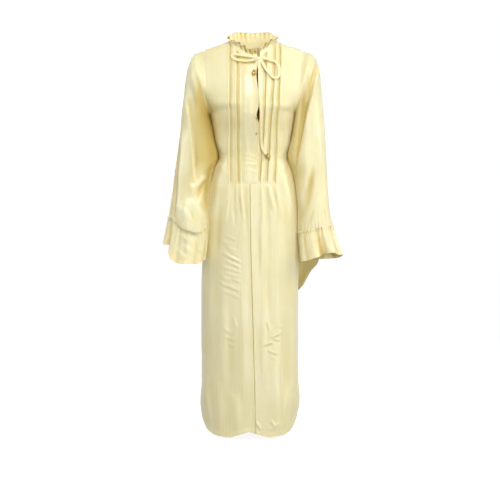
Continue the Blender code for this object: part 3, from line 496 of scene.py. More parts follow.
def satinMaterial(name, look, turned=False):
    made, tree, shader = newMaterial(name)
    setInputs(shader, {
        "Roughness": look["roughness"],
        "Sheen Roughness": look["sheenRoughness"],
        "Sheen Tint": look["sheenTint"],
        "Subsurface Weight": look["throughCloth"],
        "Subsurface Scale": look["throughReach"],
        "Subsurface Radius": look["throughColour"],
    })
    along, across, up = look["streakScale"]
    uv = makeNode(tree, "ShaderNodeUVMap", (-1500, 100), uv_map="cloth")
    place = makeNode(tree, "ShaderNodeTexCoord", (-1500, -300))
    streakMap = makeNode(tree, "ShaderNodeMapping", (-1300, 200),
                         {"Scale": (across, along, up) if turned else (along, across, up)})
    streak = makeNode(tree, "ShaderNodeTexNoise", (-1100, 200),
                      {"Scale": 1.0, "Detail": look["streakDetail"]})
    cloud = makeNode(tree, "ShaderNodeTexNoise", (-1100, -250),
                     {"Scale": look["cloudScale"], "Detail": look["cloudDetail"]})
    weave = makeNode(tree, "ShaderNodeTexWave", (-1100, -50),
                     {"Scale": look["weaveScale"], "Distortion": look["weaveDistortion"]},
                     wave_type="BANDS", bands_direction="DIAGONAL")
    weaveMap = makeNode(tree, "ShaderNodeMapping", (-1300, -50), {"Scale": look["weaveStretch"]})
    both = makeNode(tree, "ShaderNodeMix", (-850, 120), {0: look["cloudShare"]}, data_type="FLOAT")
    ramp = rampNode(tree, (-650, 120), look["stops"], (look["deep"], look["light"]))
    bumps = (((-400, -100), look["streakBump"]), ((-200, -200), look["weaveBump"]))
    streakBump, weaveBump = (
        makeNode(tree, "ShaderNodeBump", spot, {"Strength": strength, "Distance": height})
        for spot, (strength, height) in bumps)
    # The painted shade attribute: the satin turns darker gold in folds and near black in the slit, and loses
    # sheen and gloss there
    fold = makeNode(tree, "ShaderNodeAttribute", (-650, 380), attribute_name="paintedFoldShade")
    foldShaded = makeNode(tree, "ShaderNodeMix", (-350, 200), data_type="RGBA")
    slitShaded = makeNode(tree, "ShaderNodeMix", (-150, 260), data_type="RGBA")
    foldShaded.inputs[7].default_value = look["fold"]
    slitShaded.inputs[7].default_value = look["slitShadeColour"]
    past = rangeNode(tree, (-350, 420), 0.0, 1.0, *look["darkRange"])
    matt = rangeNode(tree, (-350, 620), *look["sheen"])
    dull = rangeNode(tree, (-350, 820), *look["specular"])
    linkNodes(tree, (
        (uv, "UV", streakMap, "Vector"),
        (uv, "UV", weaveMap, "Vector"),
        (streakMap, "Vector", streak, "Vector"),
        (weaveMap, "Vector", weave, "Vector"),
        (place, "Object", cloud, "Vector"),
        (streak, "Fac", both, 2),
        (cloud, "Fac", both, 3),
        (both, 0, ramp, "Fac"),
        (fold, "Fac", foldShaded, 0),
        (ramp, "Color", foldShaded, 6),
        (fold, "Fac", past, "Value"),
        (past, "Result", slitShaded, 0),
        (foldShaded, 2, slitShaded, 6),
        (slitShaded, 2, shader, "Base Color"),
        (fold, "Fac", matt, "Value"),
        (matt, "Result", shader, "Sheen Weight"),
        (fold, "Fac", dull, "Value"),
        (dull, "Result", shader, "Specular IOR Level"),
        (streak, "Fac", streakBump, "Height"),
        (weave, "Fac", weaveBump, "Height"),
        (streakBump, "Normal", weaveBump, "Normal"),
        (weaveBump, "Normal", shader, "Normal"),
    ))
    return made


# Gold of the tie's tips: worn in a fine grain that is also a little rougher
goldLook = {
    "colour": (0.52, 0.37, 0.13, 1.0),
    "worn": (0.26, 0.17, 0.05, 1.0),
    "stops": (0.35, 0.60),
    "roughness": (0.16, 0.36),
    "grainScale": 700.0,
}


def goldMaterial(name, look):
    made, tree, shader = newMaterial(name)
    setInputs(shader, {"Metallic": 1.0})
    place = makeNode(tree, "ShaderNodeTexCoord", (-900, 0))
    grain = makeNode(tree, "ShaderNodeTexNoise", (-700, 0), {"Scale": look["grainScale"]})
    ramp = rampNode(tree, (-450, 100), look["stops"], (look["worn"], look["colour"]))
    rough = rangeNode(tree, (-450, -200), *look["roughness"], 0.0, 1.0)
    linkNodes(tree, (
        (place, "Object", grain, "Vector"),
        (grain, "Fac", ramp, "Fac"),
        (grain, "Fac", rough, "Value"),
        (ramp, "Color", shader, "Base Color"),
        (rough, "Result", shader, "Roughness"),
    ))
    return made


satin = satinMaterial("satin cloth", satinLook)
satinTurned = satinMaterial("satin ruffle", satinLook, turned=True)
gold = goldMaterial("gold metal", goldLook)

# Camera
cameraData = bpy.data.cameras.new("camera")
cameraData.lens = camera["lens"]
cameraData.sensor_width = camera["sensor"]
cameraObject = bpy.data.objects.new("camera", cameraData)
cameraObject.location = camera["place"]
cameraObject.rotation_euler = (math.radians(90), 0, 0)
bpy.context.collection.objects.link(cameraObject)
bpy.context.scene.camera = cameraObject

# Tie: route points as x, height and stand-off from the front's surface
tie = {
    "width": 0.0098,
    "shortWidth": 0.0058,
    "points": 60,
    "sides": 14,
    "flatness": 0.52,           # the sewn tube is pressed flat
    "edgePress": (0.45, 0.35),  # how much flatter its edges are, and how wide they are
    "wobble": 0.03,             # how much its width swings, and the radians of two swings along it
    "swings": (41, 97),
}
tieRoutes = {
    "tie_loop_left": ((0.0109, -0.0605, 0.0142), (-0.0080, -0.0550, 0.0120), (-0.0300, -0.0500, 0.0100),
                      (-0.0520, -0.0460, 0.0085), (-0.0660, -0.0440, 0.0075), (-0.0720, -0.0505, 0.0070),
                      (-0.0670, -0.0590, 0.0070), (-0.0510, -0.0660, 0.0080), (-0.0300, -0.0700, 0.0090),
                      (-0.0080, -0.0700, 0.0110), (0.0100, -0.0668, 0.0142)),
    "tie_loop_right": ((0.0262, -0.0595, 0.0142), (0.0420, -0.0620, 0.0120), (0.0620, -0.0660, 0.0095),
                       (0.0800, -0.0730, 0.0080), (0.0910, -0.0890, 0.0070), (0.0935, -0.1090, 0.0070),
                       (0.0870, -0.1280, 0.0070), (0.0760, -0.1310, 0.0080), (0.0630, -0.1210, 0.0085),
                       (0.0500, -0.1060, 0.0095), (0.0390, -0.0880, 0.0110), (0.0285, -0.0690, 0.0140)),
    "tie_end_short": ((0.0140, -0.0728, 0.0145), (0.0126, -0.0800, 0.0128), (0.0090, -0.0900, 0.0110),
                      (0.0060, -0.1040, 0.0100)),
    "tie_end_long": ((0.0225, -0.0728, 0.0145), (0.0230, -0.0920, 0.0125), (0.0238, -0.1210, 0.0115),
                     (0.0245, -0.1600, 0.0110), (0.0262, -0.2000, 0.0110), (0.0286, -0.2400, 0.0105),
                     (0.0282, -0.2800, 0.0095), (0.0290, -0.3300, 0.0085), (0.0312, -0.3600, 0.0080),
                     (0.0345, -0.3780, 0.0080), (0.0405, -0.3890, 0.0080), (0.0460, -0.3955, 0.0080)),
}
bead = {
    "length": 0.0180,
    "radius": 0.0070,
    "sides": 40,
    "gap": 0.0003,              # between the tie's end and its tip
    "sharp": 50,
    # share of the length, share of the radius
    "shape": ((0.0, 0.50), (0.02, 0.60), (0.06, 0.70), (0.11, 0.74), (0.16, 0.70), (0.19, 0.58),
              (0.22, 0.52), (0.26, 0.56), (0.32, 0.70), (0.40, 0.84), (0.50, 0.93), (0.62, 0.99),
              (0.74, 1.00), (0.80, 0.99), (0.82, 0.95), (0.84, 0.95), (0.86, 0.99), (0.92, 0.93), (0.96, 0.78), (0.985, 0.58),
              (1.0, 0.36)),
}


def tiePoints(name):
    x, z, off = np.array(tieRoutes[name]).T
    base = bodyPoint(x, z, -1)
    return base + bodyNormal(base, -1) * off[:, None]


# Evenly spaced points of one smooth curve through the route's points
def smoothRoute(points, count):
    steps = np.linalg.norm(np.diff(points, axis=0), axis=1)
    run = np.concatenate([[0], np.cumsum(steps)])
    slopes = np.gradient(points, run, axis=0)
    at = np.linspace(0, run[-1], count)
    k = np.clip(np.searchsorted(run, at, side="right") - 1, 0, len(run) - 2)
    h = (run[k + 1] - run[k])[:, None]
    t = ((at - run[k])[:, None]) / h
    return ((1 + 2 * t) * (1 - t) ** 2 * points[k] + t * (1 - t) ** 2 * h * slopes[k]
            + t * t * (3 - 2 * t) * points[k + 1] + t * t * (t - 1) * h * slopes[k + 1])


# A tube along a path: in each cross-section an ellipse, pressed flat towards the cloth behind it,
# whose size swings a little along the way
def tubeGrid(path, radius):
    tangent = unit(np.gradient(path, axis=0))
    side = unit(np.cross(tangent, bodyNormal(path, -1)))
    away = np.cross(side, tangent)
    turn = np.linspace(0, 2 * np.pi, tie["sides"], endpoint=False)
    along = np.linspace(0, 1, len(path))[:, None]
    slow, quick = tie["swings"]
    swing = np.sin(along * slow + turn[None, :] * 2) + np.sin(along * quick + 1.3)
    size = radius * (1 + tie["wobble"] * swing)
    press, width = tie["edgePress"]
    flat = tie["flatness"] * (1 - press * bell(np.cos(turn), 0, width))[None, :]
    ringSide = (np.cos(turn)[None, :] * size)[..., None] * side[:, None, :]
    ringAway = (np.sin(turn)[None, :] * size * flat)[..., None] * away[:, None, :]
    return path[:, None, :] + ringSide + ringAway


# A closed solid from a grid of rings: the two end rings are closed by one point each
def closedTube(name, grid, sharp=40):
    rows, cols = grid.shape[:2]
    verts = np.concatenate([grid.reshape(-1, 3), grid[:1].mean(axis=1), grid[-1:].mean(axis=1)])
    step = np.arange(0, cols, 2)
    start = rows * cols
    base = (rows - 1) * cols
    first = np.stack([np.full(len(step), start), step, (step + 1) % cols, (step + 2) % cols], -1)
    second = np.stack([np.full(len(step), start + 1), base + (step + 2) % cols, base + (step + 1) % cols,
                       base + step], -1)
    caps = np.concatenate([first, second])
    faces = np.concatenate([gridFaces(rows, cols, cols), caps])
    faceUv = np.concatenate([cellCorners(clothUv(grid, ring=True)), np.zeros((len(caps), 4, 2))])
    return meshObject(name, verts, faces, faceUv, sharp)


# A turned form: rings of the profile's radii along an axis
def turnedGrid(start, axis, profile, sides):
    axis = unit(np.asarray(axis, float))
    helper = np.array([1.0, 0, 0]) if abs(axis[0]) < 0.8 else np.array([0, 0, 1.0])    # well off the axis
    first = unit(np.cross(axis, helper))
    second = np.cross(axis, first)
    turn = np.linspace(0, 2 * np.pi, sides, endpoint=False)
    ring = np.cos(turn)[:, None] * first + np.sin(turn)[:, None] * second
    along, radius = np.array(profile).T
    return start + along[:, None, None] * axis + radius[:, None, None] * ring[None, :, :]


# Bell shaped gold tip with a ring round its neck
def tieBead(name, points):
    axis = unit(points[-1] - points[-2])
    profile = [(along * bead["length"], size * bead["radius"]) for along, size in bead["shape"]]
    grid = turnedGrid(points[-1] + axis * bead["gap"], axis, profile, bead["sides"])
    return closedTube(name, grid, sharp=bead["sharp"])


def makeTies():
    for name in tieRoutes:
        path = smoothRoute(tiePoints(name), tie["points"])
        width = tie["shortWidth" if name == "tie_end_short" else "width"]
        piece = dress(closedTube(name + "_satin", tubeGrid(path, width / 2)), satin, [name])
        if name.startswith("tie_end"):
            beadNode = name.replace("tie_end", "bead")
            dress(tieBead(beadNode + "_gold", path), gold, [beadNode])


makeTies()

# Fineness of the panels: points to a step of the top table, height between low rows, rows in the hem
fineness = {
    "topSteps": 6,
    "rowHeight": 0.0046,
    "levelling": 0.03,          # height over which the rows below the waist level out
    "hemRows": 38,
    "seamColumns": 12,          # between the centre seam and the first tuck
    "gapColumns": 4,            # between two tucks
    "sideColumns": 40,
    "backColumns": 101,
    "sleeveSteps": 20,
}

# Placket band: x of its two edges, height of its foot, slit and curl
placket = {
    "left": -0.0370,
    "right": 0.0200,
    "bottom": -0.500,
    "lift": 0.0021,
    "seat": 0.0006,             # how far it stands off where it is sewn down flat
    "flush": 0.012,
    "topFlush": 0.030,
    "neckGap": 0.0012,          # how far its top stays below the neckline
    "thickness": 0.0009,
    "columns": 46,
    "rows": 230,
    "crowding": 0.018,          # how much its columns crowd towards both edges
    "slitEnd": -0.310,
    "belowSlit": 0.02,          # height over which it lies down again below the slit
    # height, half length, how far the edge draws back
    "notches": ((-0.124, 0.036, 0.0072), (-0.260, 0.017, 0.0062)),
    "cut": (0.072, 0.47),
    "curlStart": 0.000,
    # height, half length, how far the edge lifts
    "curls": ((-0.125, 0.034, 0.0065), (-0.170, 0.050, 0.0035), (-0.260, 0.030, 0.0050)),
    "rib": (0.0006, 0.0022),    # height and half width of the rounded edges
    "ribPlace": 0.0018,
    "flatRib": 0.35,            # share of the rib where the band is sewn down flat
    # rows of stitches: their depth as a share of the rib, distance from the left edge and from the foot
    # with the half width of each
    "stitchDepth": 0.8,
    "sideStitch": (0.0062, 0.0011),
    "footStitches": ((0.0350, 0.0012), (0.0025, 0.0010)),
    "drift": 0.0006,
    "paintedShadeReach": 0.0022,
    "folds": (
        (-34, -394, 14, -402, 5, 1.0, 2),
        (-30, -414, 12, -420, 4, 0.9, -1),
        (-33, -432, 18, -428, 5, 1.1, 1),
        (-30, -452, 16, -456, 4, 0.7, 0),
        (-22, -330, -16, -390, 6, 0.8, 2),
        (-8, -200, -14, -300, 7, 0.9, -2),
        (2, -250, 12, -330, 4, 0.8, 1),
        (-28, -110, -20, -200, 7, 1.0, 2),
    ),
}

# Front panels: tucks as x at the neck, under the bust and at the tuck's end, folds in mm
frontPanel = {
    "cut": (0.31, 1.41, 0.380),         # flat width, length and area, as cut
    "thickness": 0.0009,
    "hemThickness": 0.0016,
    "hemWidth": 0.014,
    "hemEdge": 0.0015,                  # height over which the cloth gets thicker
    "tuckDepths": (0.060, 0.290, 0.500),    # how far below the origin the three x of a tuck are
    "tuckEnd": -0.500,
    "tuckFade": 0.012,
    "tuckClearance": 0.014,
    "tuckRidge": (0.0038, 0.0028),      # height and half width
    "tuckSlopes": (1.1, 0.65),          # outer and inner side of the ridge, in half widths
    # depth as a share of the height, distance and width in half widths
    "tuckGroove": (0.50, 1.40, 0.42),
    "tuckHollow": (0.45, 2.9, 1.8),
    "tuckOffsets": (-8.5, -7.2, -6.0, -5.0, -4.2, -3.4, -2.6, -1.8, -1.0, -0.4, 0.4, 1.2, 2.2, 3.4, 4.8, 6.2),
    "tuckEndDent": (0.0006, 0.0020, 0.09),      # depth, half height, reach from the middle
    "drift": 0.0012,
    "driftStart": (0.42, 0.25),         # how far below the origin, and the span over which it grows
    "seamRib": (0.0008, 0.0035),        # height and width of the pressed seam allowance
    "seamOffsets": (0.5, 1.0, 1.6, 2.3, 3.1, 4.1, 5.3),
    "seamGroove": 0.0012,
    "seamGap": 0.00015,
    "seamStart": (0.495, 0.01),
    "besideBand": (0.0050, 0.9),        # half width beside the placket, share of the hollows lost there
    "sideCalm": 0.10,                   # share of the width at the side over which folds fade
    "paintedShadeReach": 0.0160,                # how deep a fold is fully drawn in painted shade
    # painted shade: reach for the tucks' grooves, strength in the seam's groove and in the dent at the tucks' end
    "tuckShadeReach": 0.0028,
    "seamShade": 0.75,
    "tuckEndShade": 0.10,
    "left": {
        "tucks": ((-0.0420, -0.0420, -0.0405), (-0.0590, -0.0585, -0.0545), (-0.0840, -0.0840, -0.0825)),
        "folds": (
            # where the chest's cloth falls away under the bust
            (-156, -221, -14, -228, 14, 4.8, -4),
            (-150, -300, -24, -306, 40, -4.4, 3),
            (-152, -232, -128, -296, 8, 2.4, 2),
            (-118, -300, -124, -385, 9, 1.8, 2),
            (-138, -330, -104, -392, 6, 1.5, -2),
            (-134, -398, -96, -380, 6, 1.3, 2),
            (-128, -418, -84, -470, 7, 1.4, 3),
            (-26, -300, -34, -470, 6, -1, 0),
            # folds that the tucks let out
            (-41, -496, -28, -640, 5, 4.6, 3),
            (-55, -498, -62, -610, 5, 3.8, -2),
            (-83, -498, -98, -640, 6, 3.5, -3),
            (-66, -505, -60, -650, 6, -3.2, 0),
            (-30, -505, -20, -680, 7, -2.6, 0),
            (-122, -470, -150, -640, 12, 4.9, -6),
            (-110, -520, -126, -760, 11, -3.2, 4),
            (-146, -700, -150, -1010, 13, 3.2, 3),
            (-108, -800, -112, -1180, 16, 3.5, -6),
            (-78, -900, -74, -1240, 18, -2.9, 5),
            (-36, -860, -30, -1260, 12, 2.2, -3),
            (-165, -1180, -150, -1340, 9, 2.6, 4),
            (-118, -1200, -112, -1385, 16, 3.8, 2),
            (-62, -1240, -52, -1385, 15, 3.2, -2),
            # short creases across the hip and thigh
            (-98, -682, -58, -698, 4.2, 1.5, 1),
            (-110, -702, -64, -716, 4.4, 1.4, 2),
            (-100, -716, -44, -742, 4.6, 2.0, 2),
            (-86, -733, -42, -757, 4.0, 1.9, 1),
            (-108, -740, -50, -770, 4.8, 2.2, 3),
            (-80, -758, -38, -777, 3.8, 2.6, 1),
            (-98, -772, -44, -789, 4.2, 2.2, 2),
            (-70, -784, -40, -797, 3.6, 2.6, 1),
            (-112, -792, -58, -804, 4.4, 1.5, 2),
            (-74, -802, -38, -812, 3.8, 1.9, 1),
            (-96, -814, -42, -828, 4.6, 1.9, 2),
            (-110, -828, -70, -840, 5.0, 1.3, 2),
            (-76, -832, -40, -846, 4.2, 1.7, 1),
            (-118, -844, -66, -868, 4.4, 2.0, 3),
            (-86, -858, -44, -876, 4.4, 2.2, 2),
            (-102, -878, -58, -892, 5.0, 1.4, 2),
            (-70, -890, -42, -904, 4.4, 1.2, 1),
            (-102, -1006, -72, -1028, 6.0, 1.3, 2),
            (-98, -1040, -66, -1046, 5.0, 1.5, 1),
            (-88, -1062, -62, -1072, 5.0, 1.0, 1),
            (-66, -968, -54, -1012, 5.0, 1.4, 1),
        ),
    },
    "right": {
        "tucks": ((0.0518, 0.0440, 0.0290), (0.0840, 0.0685, 0.0545), (0.1030, 0.0918, 0.0826)),
        "folds": (
            (14, -229, 162, -221, 14, 5.0, 4),
            (30, -306, 154, -300, 40, -4.6, -2),
            (113, -262, 127, -372, 6, 2.2, -3),
            (136, -280, 122, -360, 7, 1.6, 0),
            (134, -344, 104, -398, 7, 1.8, 3),
            (132, -404, 100, -386, 6, 1.5, -2),
            (124, -420, 90, -468, 8, 1.6, -2),
            (56, -330, 44, -480, 5, -0.9, 0),
            (29, -496, 33, -640, 5, 4.1, -3),
            (33, -600, 32, -830, 8, 3.8, 0),
            (56, -498, 80, -610, 6, 3.8, 3),
            (84, -498, 100, -630, 6, 3.5, 2),
            (44, -505, 62, -800, 8, -3.5, -4),
            (70, -505, 88, -590, 5, -2.6, 0),
            (112, -470, 152, -620, 12, 4.9, 6),
            (118, -540, 118, -760, 12, -3.2, -4),
            (152, -640, 152, -900, 10, 3.8, -3),
            (94, -720, 90, -1010, 14, 3.2, 5),
            (56, -820, 66, -1000, 9, -2.3, 3),
            (118, -940, 112, -1260, 16, -2.9, -4),
            (38, -900, 42, -1230, 10, 2.6, 3),
            (146, -1000, 152, -1250, 10, 2.9, -4),
            (86, -1180, 84, -1380, 18, 3.8, -3),
            (134, -1200, 122, -1372, 12, 2.9, 2),
            # creases that meet like a star over the shin
            (62, -1043, 106, -1022, 3.6, 3.8, 1),
            (70, -1046, 98, -1052, 3.15, 3.2, 0),
            (34, -1070, 76, -1058, 3.6, 3.4, -1),
            (52, -1084, 92, -1101, 4.05, 3.2, 2),
            (60, -1108, 84, -1116, 4.5, 1.6, 0),
            (50, -980, 62, -1020, 4.5, 2, 1),
            (84, -1000, 116, -1004, 4.5, 1.4, 1),
            (12, -1335, 30, -1365, 4.5, 3.4, 1),
            (66, -1330, 78, -1358, 4.5, 2.8, 1),
            (96, -1342, 60, -1368, 6, 1.9, 1),
            (24, -560, 36, -582, 4.5, 1.6, 0),
        ),
    },
}

# Back panel: its hanging folds and creases, seen from the front's side, in mm
backPanel = {
    "cut": (0.52, 1.42, 0.660),
    "thickness": 0.0009,
    "hang": (0.25, 0.5),        # how far below the origin its waves start, and the span over which they grow
    "wave": 0.0045,
    "waves": 4,
    "waveFade": 0.3,            # share of the half width at each side over which waves fade, and folds
    "foldFade": 0.12,
    # share of the waves' hollows drawn in painted shade
    "waveShade": 0.5,
    "drift": 0.0022,
    "folds": (
        (-60, -40, -95, -240, 22, 2.6, 6),
        (62, -44, 92, -250, 20, 2.8, -5),
        (-4, -60, -10, -330, 26, 2, 4),
        (-98, -250, -60, -430, 12, 2.4, -6),
        (104, -262, 66, -436, 12, 2.6, 6),
        (-30, -300, -26, -470, 10, -1.8, 2),
        (34, -290, 40, -480, 11, -2, -2),
        (-116, -384, -52, -412, 8, 2.2, 3),
        (112, -392, 40, -418, 8, 2, -3),
        (-104, -424, -60, -452, 7, 1.5, 2),
        (96, -432, 30, -446, 7, 1.6, -2),
        (-70, -470, -92, -760, 14, 3.6, 6),
        (64, -468, 96, -740, 14, 3.2, -6),
        (-8, -480, 4, -860, 16, 3.1, 4),
        (-120, -560, -128, -900, 13, 2.9, -4),
        (122, -600, 126, -940, 13, 2.9, 4),
        (-44, -620, -40, -1080, 17, -3.6, -5),
        (36, -640, 44, -1120, 17, -3.6, 6),
        (-92, -840, -104, -1300, 18, 4.1, 6),
        (84, -820, 98, -1290, 18, 4.1, -6),
        (-10, -900, -6, -1340, 20, 3.8, 4),
        (-80, -706, -30, -732, 4.5, 2.6, 2),
        (-72, -742, -24, -760, 4.5, 3, 2),
        (22, -724, 78, -700, 4.5, 2.8, 2),
        (18, -764, 66, -748, 4.5, 2.4, 1),
        (-66, -1012, -28, -1030, 4.5, 2.6, 1),
        (30, -1044, 70, -1020, 4.5, 2.8, 2),
        (16, -1070, 58, -1078, 4.5, 2, 1),
        (-142, -1180, -128, -1340, 9, 1.9, 3),
        (140, -1190, 118, -1340, 9, 1.9, -3),
    ),
}


# One column of the top rows at fine steps between them
def topColumn(k, fine):
    return smoothTable(np.arange(len(panelTopRows)), [row[k] for row in panelTopRows], fine)


# Fine rows of a body panel as three arrays: edge height, centre height, edge share of the half width
def panelRows(face):
    last = len(panelTopRows) - 1
    fine = np.linspace(0, last, last * fineness["topSteps"] + 1)
    edgeZ, centreZ, share = (topColumn(k, fine) for k in (0, 2 if face < 0 else 3, 1))
    first = centreZ[-1] - fineness["rowHeight"]
    low = np.linspace(first, hemStart, int(round((first - hemStart) / fineness["rowHeight"])) + 1)
    level = climb(low, low[0], -fineness["levelling"])
    lowEdge = low + (edgeZ[-1] - centreZ[-1]) * (1 - level)
    return (np.concatenate([edgeZ, lowEdge]), np.concatenate([centreZ, low]),
            np.concatenate([share, np.ones(len(low))]))


# x and height of a panel's points: rows climb from the centre to the side by a power of the share,
# and the last rows spread down to the rounded hem
def panelGrid(places, edge, rows, face):
    edgeZ, centreZ, _ = rows
    share = np.clip(np.abs(places) / edge[:, None], 0, 1)
    z = centreZ[:, None] + (edgeZ - centreZ)[:, None] * share ** neckRisePower
    x = places + tableColumn(bodySections, 1, z)
    start = z[-1]
    bottomShare = (x[-1] - tableColumn(bodySections, 1, start)) / tableColumn(bodySections, 2, start)
    foot = tableColumn(hemCurve, 1 if face < 0 else 2, np.clip(np.abs(bottomShare), 0, 1))
    step = np.linspace(0, 1, fineness["hemRows"] + 1)[1:, None]
    hemZ = start + (foot - start) * step
    hemX = tableColumn(bodySections, 1, hemZ) + bottomShare * tableColumn(bodySections, 2, hemZ)
    return np.concatenate([x, hemX]), np.concatenate([z, hemZ]), foot


# Adds a column that slips under the neighbouring piece, so that no light shows through the seam
def tuckUnder(points, normal, width=0.0022, depth=0.0007):
    outward = unit(points[:, -1] - points[:, -2])
    flap = points[:, -1] + outward * width - normal[:, -1] * depth
    return np.concatenate([points, flap[:, None]], axis=1)


# Repeats a grid's edge columns for the columns that were tucked under, before it and after it
def repeatEdge(values, before, after):
    return np.pad(values, ((0, 0), (before, after)) + ((0, 0),) * (values.ndim - 2), mode="edge")


# Cloth is double in its turned hem: the thickness that is added near the panel's foot
def hemStep(z, foot, thickness):
    share = climb(z - foot[None, :], frontPanel["hemWidth"], -frontPanel["hemEdge"])
    return (frontPanel["hemThickness"] - thickness) * share


# Columns of a front panel as distances from the body's middle: they crowd at the seam and round the tucks
def frontPlaces(side, rows):
    sign = sideSign[side]
    edgeZ, centreZ, edgeShare = rows
    middle = tableColumn(bodySections, 1, centreZ)
    edge = tableColumn(bodySections, 2, edgeZ) * edgeShare
    seam = (tableColumn(centreSeam, 1, centreZ) - middle) * sign
    tucks = [(smoothTable(frontPanel["tuckDepths"], row, -centreZ) - middle) * sign
             for row in frontPanel[side]["tucks"]]
    squeeze = np.minimum(1, (edge - frontPanel["tuckClearance"]) / tucks[-1])
    offsets = np.array(frontPanel["tuckOffsets"]) / 1000
    fills = [seam[:, None] + np.array(frontPanel["seamOffsets"]) / 1000]
    before = fills[0][:, -1:]
    for number, place in enumerate(tucks):
        mark = (place[:, None] + offsets) * squeeze[:, None]
        count = fineness["gapColumns" if number else "seamColumns"]
        share = np.linspace(0, 1, count + 2)[None, 1:-1]
        fills += [before + (mark[:, :1] - before) * share, mark]
        before = mark[:, -1:]
    angles = np.radians(np.linspace(0, 90, fineness["sideColumns"] + 1)[1:])
    rest = before + (edge[:, None] - before) * np.sin(angles)
    return np.concatenate([seam[:, None]] + fills + [rest], axis=1), edge


# A front panel: the body's form with a ridge along each tuck, folds, and a pressed seam at its middle edge;
# painted shade darkens its folds, tucks, seam groove, tuck ends, sides and slit
def makeFront(side):
    sign = sideSign[side]
    own = frontPanel[side]
    rows = panelRows(-1)
    places, edge = frontPlaces(side, rows)
    x, z, foot = panelGrid(sign * places, edge, rows, -1)
    x[:, 0] = tableColumn(centreSeam, 1, z[:, 0]) + sign * frontPanel["seamGap"]
    base = bodyPoint(x, z, -1)
    normal = bodyNormal(base, -1)
    tucked = tuckRelief(x, z, own["tucks"], sign)
    relief = foldRelief(base, own["folds"]) + tucked
    relief += drift(x, z, 1.0 + sign, frontPanel["drift"]) * climb(-z, *frontPanel["driftStart"])
    fromSeam = np.abs(x - tableColumn(centreSeam, 1, z))
    height, width = frontPanel["seamRib"]
    pressed = climb(-z, *frontPanel["seamStart"])
    atSeam = pressed * bell(fromSeam, 0, frontPanel["seamGroove"])
    relief += pressed * height * bell(fromSeam, width, width) - 2 * height * atSeam
    dent, tall, reach = frontPanel["tuckEndDent"]
    atTuckEnd = bell(z, frontPanel["tuckEnd"], tall) * (np.abs(x) < reach)
    relief -= dent * atTuckEnd
    aboveFoot = z > placket["bottom"]
    underBand = (x > placket["left"]) & (x < placket["right"]) & aboveFoot
    relief = np.where(underBand, np.minimum(relief, 0), relief)
    near, lost = frontPanel["besideBand"]
    kept = 1 - lost * bell(x, placket["left"], near) * aboveFoot
    tucked = np.where(tucked < 0, tucked * kept, tucked)
    relief = np.where(relief < 0, relief * kept, relief)
    share = np.abs(places) / edge[:, None]
    calm = np.ones(x.shape)
    calm[:len(share)] = climb(1 - share, 0, frontPanel["sideCalm"])
    calm[len(share):] = calm[len(share) - 1]
    relief = relief * calm
    extra = hemStep(z, foot, frontPanel["thickness"])
    hollow = slitHollow(x, z)
    outer = tuckUnder(base + normal * (relief + extra - hollow)[..., None], normal)
    # Painted shade: deep folds, the tucks' grooves, the seam's groove, the dent at the tucks' end, the sides
    # beside the sleeves and the hollow behind the slit are drawn darker
    depth = np.maximum(paintedFoldShade(relief, frontPanel["paintedShadeReach"]), paintedFoldShade(tucked, frontPanel["tuckShadeReach"]))
    depth = np.clip(depth + frontPanel["seamShade"] * atSeam + frontPanel["tuckEndShade"] * atTuckEnd, 0, 1)
    depth[:len(share)] = np.maximum(depth[:len(share)], paintedSideShade(share, z[:len(share)]))
    depth += hollow / slit["darkReach"]
    thick = frontPanel["thickness"] + repeatEdge(extra, 0, 1)
    made = clothWall("front_" + side + "_cloth", outer, thick, depth=repeatEdge(depth, 0, 1))
    dress(made, satin, ["front_" + side])


sideShade = {
    "strength": 0.7,
    "reach": 0.018,             # share of the half width
    # heights where it starts from above and from below, and the spans over which it grows
    "top": (-0.205, -0.03),
    "foot": (-0.70, 0.06),
}


# Painted shade: the body's sides are drawn darker gold where the sleeves hang close to them
def paintedSideShade(share, z):
    beside = climb(z, *sideShade["top"]) * climb(z, *sideShade["foot"])
    return sideShade["strength"] * beside * bell(share, 1, sideShade["reach"])


# Tucks: a rounded ridge that leans to the middle, a narrow groove at its edge and a wide hollow beside it
def tuckRelief(x, z, tucks, sign):
    height, half = frontPanel["tuckRidge"]
    outer, inner = frontPanel["tuckSlopes"]
    total = np.zeros(x.shape)
    for row in tucks:
        away = (x - smoothTable(frontPanel["tuckDepths"], row, -z)) * sign
        form = bell(np.maximum(away, 0), 0, outer * half) * bell(np.minimum(away, 0), 0, inner * half)
        for depth, place, width in (frontPanel["tuckGroove"], frontPanel["tuckHollow"]):
            form = form - depth * bell(away, -place * half, width * half)
        total += height * form
    return total * climb(z, frontPanel["tuckEnd"], frontPanel["tuckFade"])


slit = {
    "x": 0.0190,
    "width": 0.0062,
    "gaps": ((-0.124, 0.042, 0.013), (-0.260, 0.026, 0.012)),     # height, half length, depth
    # painted shade of the hollow behind the slit: this depth of hollow adds one step, and past the first step it
    # turns towards black
    "darkReach": 0.004,
}


# The panels sink behind the slit, where the band's edge stands open: flat-topped bumps along it, soft across
def slitHollow(x, z):
    total = np.zeros(x.shape)
    for height, half, depth in slit["gaps"]:
        total += depth * np.exp(-((z - height) / half) ** 4) * bell(x, slit["x"], slit["width"])
    return total


# How far a point of the back panel swings out: waves across that grow downwards
def backWave(share, z):
    turn = np.arcsin(share) * 2 * backPanel["waves"]
    return backPanel["wave"] * np.cos(turn) * climb(-z, *backPanel["hang"])


